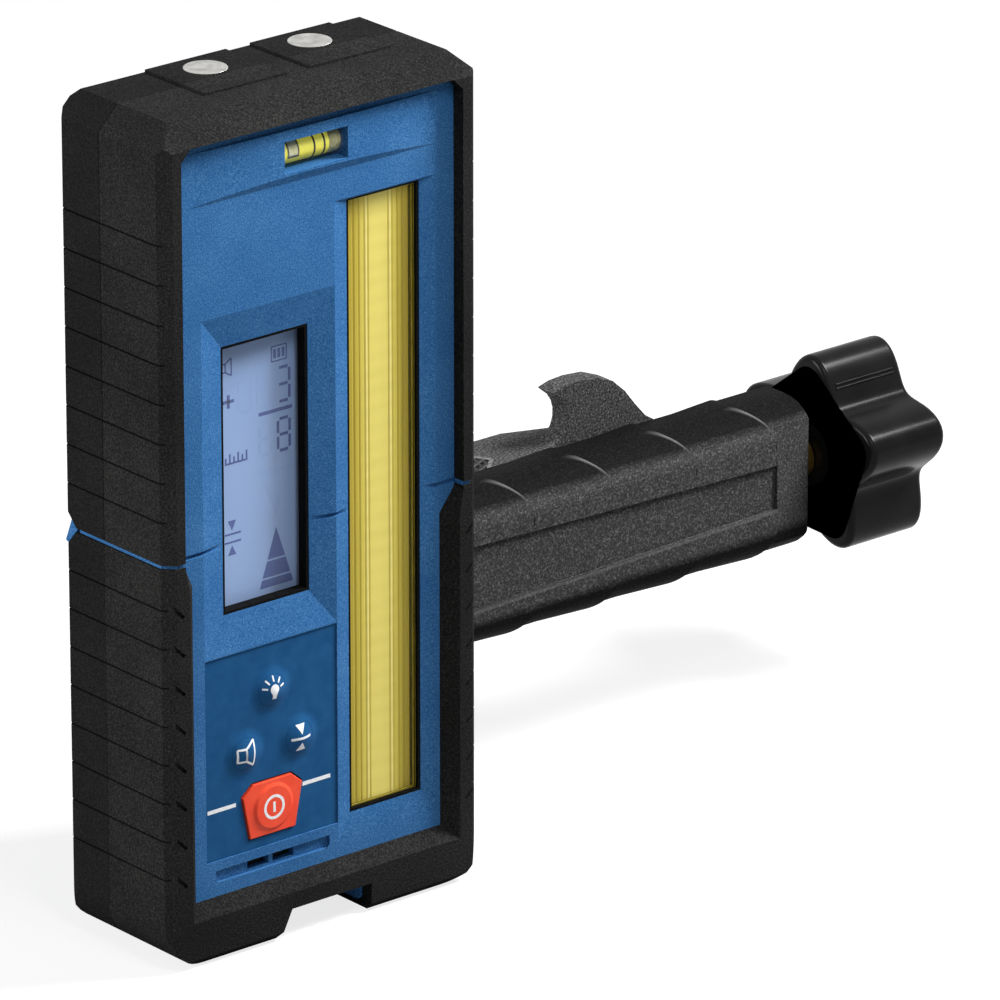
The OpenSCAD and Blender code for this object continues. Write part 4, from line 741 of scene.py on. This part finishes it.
# Keypad film: a dark blue polyester sheet bonded into the panel, pressed up into a soft dome at each round
# button and printed with two white lines.
# Printed polyester: even dark blue, satin, with a faint ripple three millimetres across
satin = {"Roughness": 0.38, "Specular IOR Level": 0.03}
film_blue = patchy("printed_blue_polyester", 3, 2, ("#1C4E7E", "#235786"), satin, bump=(0.12, 0.05))
dome_r, dome_h, split_r, skirt_r, skirt_sunk = 5.4, 1.5, 3.4, 4.2, 0.02
low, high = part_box("keypad_film")
film_y = low.y / mm
film_back = high.y / mm
buttons = {}
for node in ("light_button", "volume_button", "accuracy_button"):
    low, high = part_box(node)
    buttons[node] = ((low.x + high.x) / 2 / mm, (low.z + high.z) / 2 / mm)


def dome(r):
    """Height of a button's dome over the film at a radius, in mm."""
    return dome_h / 2 * (1 + math.cos(math.pi * min(r / dome_r, 1)))


film = cad_copy("keypad_film", "keypad_sheet")
flat_faces_flat(film)
skirts = [film]
for node, (x, z) in buttons.items():
    radii = [dome_r - (dome_r - split_r) * i / 8 for i in range(9)]
    foot = film_y + skirt_sunk
    profile = [(dome_r, foot)] + [(r, film_y - dome(r)) for r in radii]
    profile += [(split_r, film_back), (skirt_r, film_back), (skirt_r, foot), (dome_r, foot)]
    skirts.append(turned("skirt", [(x + r, y, z) for r, y in profile], (x, 0, z), (0, 1, 0), 64))
pick(*skirts)
bpy.ops.object.join()
seat(film, "receiver", "keypad_blue", film_blue, "keypad_film")

# Screen-printed white ink: matt and opaque
white_ink = patchy("screen_printed_white_ink", 0.5, 2, ("#E4E8EC", "#F6F7F8"), {"Roughness": 0.5})
strokes = [bar((-27.8, 30.3), (-20.7, 30.3), 0.8), bar((-3.85, 30.3), (3.2, 30.3), 0.8)]
lines = printed("keypad_lines", strokes, lambda x, z: film_y)
seat(lines, "receiver", "keypad_blue", white_ink)


# Round buttons: the crown of each dome moves by itself, on a stem with a flange that stops it behind the
# panel. Each carries a white mark: a lamp, a loudspeaker, or two arrows on a line.
def lamp(x, z):
    """A lamp bulb with five rays."""
    glass_r, glass_z = 1.05, z + 0.35
    angles = [math.radians(degrees) for degrees in range(-140, 141, 20)]
    bulb = [(x + glass_r * math.sin(a), glass_z + glass_r * math.cos(a)) for a in angles]
    bulb += [(x + 0.5, z - 0.95), (x + 0.5, z - 1.7), (x - 0.5, z - 1.7), (x - 0.5, z - 0.95)]
    rays = []
    for degrees in (-80, -42, 0, 42, 80):
        way = Vector((math.sin(math.radians(degrees)), math.cos(math.radians(degrees))))
        middle = Vector((x, glass_z))
        rays.append(bar(middle + way * 1.6, middle + way * 2.75, 0.36))
    return [bulb] + rays


def loudspeaker(x, z):
    """A loudspeaker in outline."""
    horn = [(x - 0.4, z - 1.3), (x + 1.8, z - 2.7), (x + 1.8, z + 2.7), (x - 0.4, z + 1.3)]
    box = [(x - 2.3, z - 1.3), (x - 0.4, z - 1.3), (x - 0.4, z + 1.3), (x - 2.3, z + 1.3)]
    return [bar(a, b, 0.42) for shape in (horn, box) for a, b in zip(shape, shape[1:] + shape[:1])]


def level_arrows(x, z):
    """Two arrow heads that meet on a line."""
    down = [(x - 1.15, z + 2.9), (x + 1.15, z + 2.9), (x, z + 0.9)]
    up = [(x - 1.15, z - 2.6), (x + 1.15, z - 2.6), (x, z - 0.9)]
    return [down, up, bar((x - 2.4, z + 0.05), (x + 2.4, z + 0.05), 0.5)]


def crown_face(px, pz):
    """Depth of a button's crown at a spot of its front, in mm."""
    return film_y - dome(math.hypot(px - x, pz - z))


flange_t, crown_r = 0.8, split_r - 0.05
crown_radii = [crown_r * i / 10 for i in range(1, 11)]
for node, mark in (("light_button", lamp), ("volume_button", loudspeaker), ("accuracy_button", level_arrows)):
    x, z = buttons[node]
    low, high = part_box(node)
    flange_r, back, face = (high.x - low.x) / 2 / mm, high.y / mm, high.y / mm - flange_t
    profile = [(0, film_y - dome_h)] + [(r, film_y - dome(r)) for r in crown_radii]
    profile += [(crown_r, face), (flange_r, face), (flange_r, back), (0, back)]
    points = [(x + r, y, z) for r, y in profile]
    cap = turned(node.replace("button", "key"), points, (x, 0, z), (0, 1, 0), 64)
    seat(cap, node, "keypad_blue", film_blue, node)
    sign = printed(node.replace("button", "key_mark"), mark(x, z), crown_face, 0.05)
    seat(sign, node, "keypad_blue", white_ink)


# Power button: a red silicone key with five sides and a round crown, printed with a ring and a bar. Like the
# round buttons, it is pressed in by itself.
def ring(centre, radius, width, count=32):
    """The corners of each stretch of a round stroke, in mm."""
    spots = [Vector((math.cos(a), math.sin(a))) for a in [2 * math.pi * i / count for i in range(count + 1)]]
    centre = Vector(centre)
    inner, outer = radius - width / 2, radius + width / 2
    return [
        [centre + a * inner, centre + a * outer, centre + b * outer, centre + b * inner]
        for a, b in zip(spots, spots[1:])
    ]


# Moulded silicone: bright orange-red, satin and smooth
satin = {"Roughness": 0.36, "Specular IOR Level": 0.25}
red_silicone = patchy("moulded_red_silicone", 4, 2, ("#F04426", "#F85434"), satin)
key_foot = -16.8
power = cad_copy("power_button", "power_key")
soften(power, 0.25, 3, 25, lambda m, length: m.y < key_foot and length > 2)
flat_faces_flat(power, 25)
seat(power, "power_button", "power_red", red_silicone, "power_button")
low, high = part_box("power_button")
x, z, crown = (low.x + high.x) / 2 / mm, (low.z + high.z) / 2 / mm, low.y / mm
signs = ring((x, z), 2.3, 0.6) + [bar((x, z - 1.1), (x, z + 1.1), 0.6)]
sign = printed("power_key_mark", signs, lambda px, pz: crown)
seat(sign, "power_button", "power_red", white_ink)


# Bracket: a glass-filled nylon arm along the back, with raised scales along its length and the fixed jaw at
# its root. A knurled screw through its foot holds it to the receiver.
# Glass-filled nylon: black and dry, with a coarse grain and grey flecks of fibre, drawn just under half a
# millimetre wide so that they show
filled = dict(at=(0.38, 0.55, 0.78), rough=(0.62, 0.4), bump=(0.6, 0.16), coarse=0.65)
dry = {"Specular IOR Level": 0.01}
arm_shades, jaw_shades = ("#2E2E2E", "#424242", "#767676"), ("#242424", "#464646", "#808080")
nylon = patchy("glass_filled_black_nylon", 0.45, 3, arm_shades, dry, **filled)
coarse_nylon = patchy("glass_filled_black_nylon_coarse", 0.45, 3, jaw_shades, dry, **filled)
arm = cad_copy("bracket_arm", "bracket_bar")
low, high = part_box("bracket_arm")
arm_root, arm_front, arm_back, arm_end, arm_middle, arm_half = 20, 16, 29, high.x / mm, 46, 17
flat_half, round_d, scale_h, scale_rise, scale_run, panel_end = 9.75, 10.4, 0.7, 0.9, 9, 150.2
scale_pitch = 22
scales = [31 + scale_pitch * i for i in range(6)]
screw_y, screw_z, hub_r = 23.6, 48, 8
# Painted light on the arm: painted shade darkens its round top and underside, and a painted highlight lays a
# pale line along each scale's edge. The shares say how far each goes
scale_r, glint_from, glint_to, glint_fades, glint_full = 9, 58.6, 61.2, 24, 20.5
painted_shade_share, painted_glint_share, lip_glint_share = 0.9, 0.45, 0.2
tree = nylon.node_tree
shader, place = tree.nodes["Principled BSDF"], tree.nodes["Texture Coordinate"].outputs["Object"]
colour = shader.inputs["Base Color"].links[0].from_socket
axes = add(tree, "SeparateXYZ", {"Vector": place})
sides = []
for unshaded_z, shaded_z in ((58.4, 60.4), (37, 34.8)):
    climb = {"From Min": unshaded_z * mm, "From Max": shaded_z * mm, "To Max": painted_shade_share}
    sides.append(add(tree, "MapRange", {"Value": axes.outputs["Z"], **climb}))
above, below = sides
painted_shade = add(tree, "Math", {0: above, 1: below}, operation="ADD")
# Painted shade: the grain's colour is mixed towards near-black over the round top and the underside
dark = add(tree, "Mix", {0: painted_shade, 6: colour, 7: linear("#060606")}, data_type="RGBA")
from_scale = add(tree, "Math", {0: axes.outputs["X"], 1: scales[0] * mm}, operation="SUBTRACT")
pitch_half = scale_pitch / 2 * mm
along = add(tree, "Math", {0: from_scale, 1: pitch_half, 2: -pitch_half}, operation="WRAP")
scale_z = (arm_middle + arm_half + scale_h - scale_r) * mm
up = add(tree, "Math", {0: axes.outputs["Z"], 1: scale_z}, operation="SUBTRACT")
from_middle = add(tree, "CombineXYZ", {"X": along, "Z": up})
reach = add(tree, "VectorMath", {0: from_middle}, operation="LENGTH")
inner = {"From Min": (scale_r - 0.6) * mm, "From Max": (scale_r - 0.2) * mm}
inside = add(tree, "MapRange", {"Value": reach.outputs["Value"], **inner})
outside = add(tree, "Math", {0: reach.outputs["Value"], 1: (scale_r + 0.03) * mm}, operation="LESS_THAN")
ahead = add(tree, "Math", {0: along, 1: 0}, operation="GREATER_THAN")
towards_face = {"From Min": glint_fades * mm, "From Max": glint_full * mm}
forward = add(tree, "MapRange", {"Value": axes.outputs["Y"], **towards_face})
climb = {"From Min": glint_from * mm, "From Max": glint_to * mm, "To Max": painted_glint_share}
painted_glint = add(tree, "MapRange", {"Value": axes.outputs["Z"], **climb})
for share in (inside, outside, ahead, forward):
    painted_glint = add(tree, "Math", {0: painted_glint, 1: share}, operation="MULTIPLY")
# The lower lip of the shallow panel in the arm's face carries a pale painted highlight as well
lip_slope, lip_z, lip_half = 0.0262, 36.75, 0.35
slanted = {0: axes.outputs["X"], 1: -lip_slope, 2: axes.outputs["Z"]}
level = add(tree, "Math", slanted, operation="MULTIPLY_ADD")
lip = add(tree, "Math", {0: level, 1: lip_z * mm, 2: lip_half * mm}, operation="COMPARE")
for axis, end in (("X", panel_end), ("Y", arm_front + 1)):
    before = add(tree, "Math", {0: axes.outputs[axis], 1: end * mm}, operation="LESS_THAN")
    lip = add(tree, "Math", {0: lip, 1: before}, operation="MULTIPLY")
pale = add(tree, "Math", {0: lip, 1: lip_glint_share, 2: painted_glint}, operation="MULTIPLY_ADD")
# Painted highlights: pale grey is mixed in along each scale's edge and along the panel's lower lip
painted_light = add(tree, "Mix", {0: pale, 6: dark.outputs[2], 7: linear("#8A8A8A")}, data_type="RGBA")
feed(shader, {"Base Color": painted_light.outputs[2]})
# Each scale starts level with the arm and rises to its rounded edge, which fades out towards the face
for vert in arm.data.vertices:
    x, y, z = vert.co / mm
    if x < arm_root or y < arm_front - scale_h - 0.1:
        continue
    run = [x - s + scale_run for s in scales if -0.01 < x - s + scale_run < 2 * scale_run + 0.01]
    rise = scale_rise * run[0] / (2 * scale_run) if run else 0
    side = math.copysign(1, z - arm_middle)
    across = (abs(z - arm_middle) - flat_half) / (arm_half - flat_half + scale_h)
    down = 1 - (y - arm_front + scale_h) / (round_d + scale_h)
    if y > arm_front + round_d:
        if run and abs(abs(z - arm_middle) - arm_half - scale_h) < 0.05:
            vert.co.z = (arm_middle + side * (arm_half + rise)) * mm
    elif run and abs(across * across + down * down - 1) < 0.03:
        turn = math.atan2(across, down)
        lift = rise * math.sin(turn)
        y = arm_front + round_d * (1 - math.cos(turn)) - lift * math.cos(turn)
        z = arm_middle + side * (flat_half + (arm_half - flat_half + lift) * math.sin(turn))
        vert.co = Vector((x, y, z)) * mm
    elif y < arm_front + 0.05:
        across = min(max((abs(z - arm_middle) - flat_half) / (arm_half - flat_half), 0), 1)
        vert.co.y = (arm_front + round_d * (1 - math.cos(math.asin(across)))) * mm
open_mesh()
bpy.ops.mesh.remove_doubles(threshold=0.02 * mm)
# The end is turned over in an arc: cuts across it, each drawn in towards the back of the arm
arc_r = 2.4
cuts = [arc_r * (1 - math.sin(math.radians(degrees))) for degrees in (0, 22.5, 45, 67.5)]
for inset in cuts:
    bpy.ops.mesh.select_all(action="SELECT")
    bpy.ops.mesh.bisect(plane_co=((arm_end - inset) * mm, 0, 0), plane_no=(1, 0, 0))
bpy.ops.object.mode_set(mode="OBJECT")
for vert in arm.data.vertices:
    x, y, z = vert.co / mm
    into = arc_r - (arm_end - x)
    if into > 0.01 and y < arm_back + 0.1 and math.hypot(y - screw_y, z - screw_z) > hub_r:
        drawn = arc_r - math.sqrt(max(arc_r * arc_r - into * into, 0))
        deep = (arm_back - y) * (1 - drawn / (arm_back - arm_front))
        wide = (z - arm_middle) * (1 - drawn / arm_half)
        vert.co = Vector((x, arm_back - deep, arm_middle + wide)) * mm


def panel_corner(m, length):
    """True at the short edges in the corners of the shallow panel in the arm's face."""
    in_face = arm_front - 0.1 < m.y < arm_front + 1
    return in_face and abs(m.x - panel_end) < 0.3 and length < 1


def panel_lip(m, length):
    """True along the lips of that panel."""
    in_face = arm_front - 0.1 < m.y < arm_front + 1
    return in_face and length > 4 and arm_root < m.x < panel_end + 0.3


soften(arm, 2, 4, 60, panel_corner)
soften(arm, 0.6, 3, 40, panel_lip)
seat(arm, "receiver", "bracket_nylon", nylon, "bracket_arm")
flat_faces_flat(arm, 30)

hook_foot = 55
jaw = cad_copy("sliding_jaw", "moving_jaw")
soften(jaw, 0.5, 3, 40, lambda m, length: m.z > hook_foot)
flat_faces_flat(jaw, 25)
seat(jaw, "jaw", "bracket_nylon", coarse_nylon, "sliding_jaw")

# Grip pads: rubber with a diamond knurl a little over a millimetre across
pad_rubber, tree, shader, place = new_material("knurled_grip_rubber")
waves = []
for degrees in (45, -45):
    slant = add(tree, "Mapping", {"Vector": place, "Rotation": (math.radians(degrees), 0, 0)})
    ridges = {"Vector": slant, "Scale": 1 / (4 * mm)}
    waves.append(add(tree, "TexWave", ridges, bands_direction="Z").outputs["Fac"])
height = add(tree, "Math", {0: waves[0], 1: waves[1]}, operation="MAXIMUM")
colour = add(tree, "ValToRGB", {"Fac": height}, ((0.3, "#0D0D0D"), (0.9, "#4A4A4A")))
knurl = add(tree, "Bump", {"Height": height, "Strength": 1, "Distance": 0.5 * mm})
feed(shader, {"Base Color": colour, "Normal": knurl, "Roughness": 0.55})
dress("fixed_jaw_pad", pad_rubber)
dress("sliding_jaw_pad", pad_rubber)


# Clamp screw: a four-start steel spindle in a brass bush, with a thrust collar and a glossy five-lobed knob.
# It drives the brass nut in the sliding jaw.
# Turned brass: yellow, its colour darkened with painted shade
brass = patchy("turned_brass", 1.5, 3, ("#7E632C", "#9A7C40"), {"Roughness": 0.32, "Metallic": 1})
for node in ("thread_insert", "spindle_bush", "jaw_nut"):
    dress(node, brass)
low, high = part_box("clamp_spindle")
spindle_r, root_r, lead, starts = (high.z - low.z) / 2 / mm, 2.5, 5, 4
spindle_y, spindle_z = (low.y + high.y) / 2 / mm, (low.z + high.z) / 2 / mm
pitch = lead / starts
ridge = ((0, spindle_r), (0.25, spindle_r), (0.5, root_r), (0.75, root_r))
flank = [(i * pitch + a * pitch, 0, r) for i in range(starts) for a, r in ridge] + [(lead, 0, spindle_r)]
turns = math.ceil((high.x - low.x) / mm / lead) + 1
spindle = drawn_line("threaded_spindle", flank)
bpy.ops.object.mode_set(mode="OBJECT")
wind = spindle.modifiers.new("thread", "SCREW")
wind.axis = "X"
wind.angle = -2 * math.pi
wind.screw_offset = lead * mm
wind.iterations = turns
wind.steps = wind.render_steps = 32
wind.use_merge_vertices = True
wind.merge_threshold = 0.001 * mm
bpy.ops.object.modifier_apply(modifier=wind.name)
spindle.location = (low.x - lead / 2 * mm, spindle_y * mm, spindle_z * mm)
bpy.ops.object.transform_apply()
bpy.ops.object.mode_set(mode="EDIT")
for x, way in ((low.x, -1), (high.x, 1)):
    bpy.ops.mesh.select_all(action="SELECT")
    bpy.ops.mesh.bisect(plane_co=(x, 0, 0), plane_no=(way, 0, 0), clear_outer=True, use_fill=True)
bpy.ops.mesh.select_all(action="SELECT")
bpy.ops.mesh.remove_doubles(threshold=0.001 * mm)
close_mesh(30)
seat(spindle, "clamp_screw", "bright_steel", bright_steel, "clamp_spindle")

# Gloss-moulded ABS: deep black, smooth, with soft wide reflections and a faint flow ripple
gloss = {"Specular IOR Level": 0.07}
gloss_black = patchy("gloss_black_abs", 8, 3, ("#0B0B0B", "#131313"), gloss, rough=(0.17, 0.26))
knob = cad_copy("star_knob", "lobed_knob")
low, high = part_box("star_knob")
knob_foot, knob_end, lobes_r, thicker = 165.2, high.x / mm, 9, 1.2


def from_axis(spot):
    """The way from the screw's axis to a spot in mm, square to the axis."""
    return Vector((0, spot.y - screw_y, spot.z - screw_z))


# The knob is a shell, open towards the arm. Its wall is thickened from inside, so that its rim can be rounded
hollow = set()
for face in knob.data.polygons:
    out = from_axis(face.center / mm)
    if out.length > lobes_r and face.normal.dot(out.normalized()) < -0.3:
        hollow.update(face.vertices)
for i in hollow:
    spot = knob.data.vertices[i].co
    knob.data.vertices[i].co = spot - from_axis(spot / mm).normalized() * thicker * mm
soften(knob, 1.5, 5, 60, lambda m, length: m.x > knob_end - 0.1 and from_axis(m).length > lobes_r)
soften(knob, 1.5, 5, 60, lambda m, length: m.x < knob_foot and from_axis(m).length > lobes_r)
flat_faces_flat(knob, 40)
# Two thin seams from the mould run along the lobes, in front of the axis
seams = [knob]
seam_x, seam_half_gap, outside_r = 174.9, 0.45, 40
seam_size = Vector((16, 0.5, 0.4)) * mm
middle = Vector(((low.x + high.x) / 2, screw_y * mm, screw_z * mm))
for degrees in (67, -67):
    way = Vector((0, -math.cos(math.radians(degrees)), math.sin(math.radians(degrees))))
    spot, normal = knob.ray_cast(middle + way * outside_r * mm, -way)[1:3]
    for aside in (-seam_half_gap, seam_half_gap):
        seam = start_piece("seam", bpy.ops.mesh.primitive_cube_add, size=1, scale=seam_size)
        side = normal.cross(Vector((1, 0, 0)))
        seam.rotation_euler.x = math.atan2(normal.z, normal.y)
        seam.location = Vector((seam_x * mm, spot.y, spot.z)) + side * aside * mm
        bpy.ops.object.transform_apply()
        soften(seam, 0.1, 2, 30, lambda m, length: True)
        seams.append(seam)
pick(*seams)
bpy.ops.object.join()
seat(knob, "clamp_screw", "knob_gloss", gloss_black, "star_knob")
dress("knob_cap", gloss_black)

thumb = cad_copy("thumb_knob", "fixing_knob_grip")
flat_faces_flat(thumb, 30)
seat(thumb, "fixing_knob", "black_plastic", black_pp, "thumb_knob")
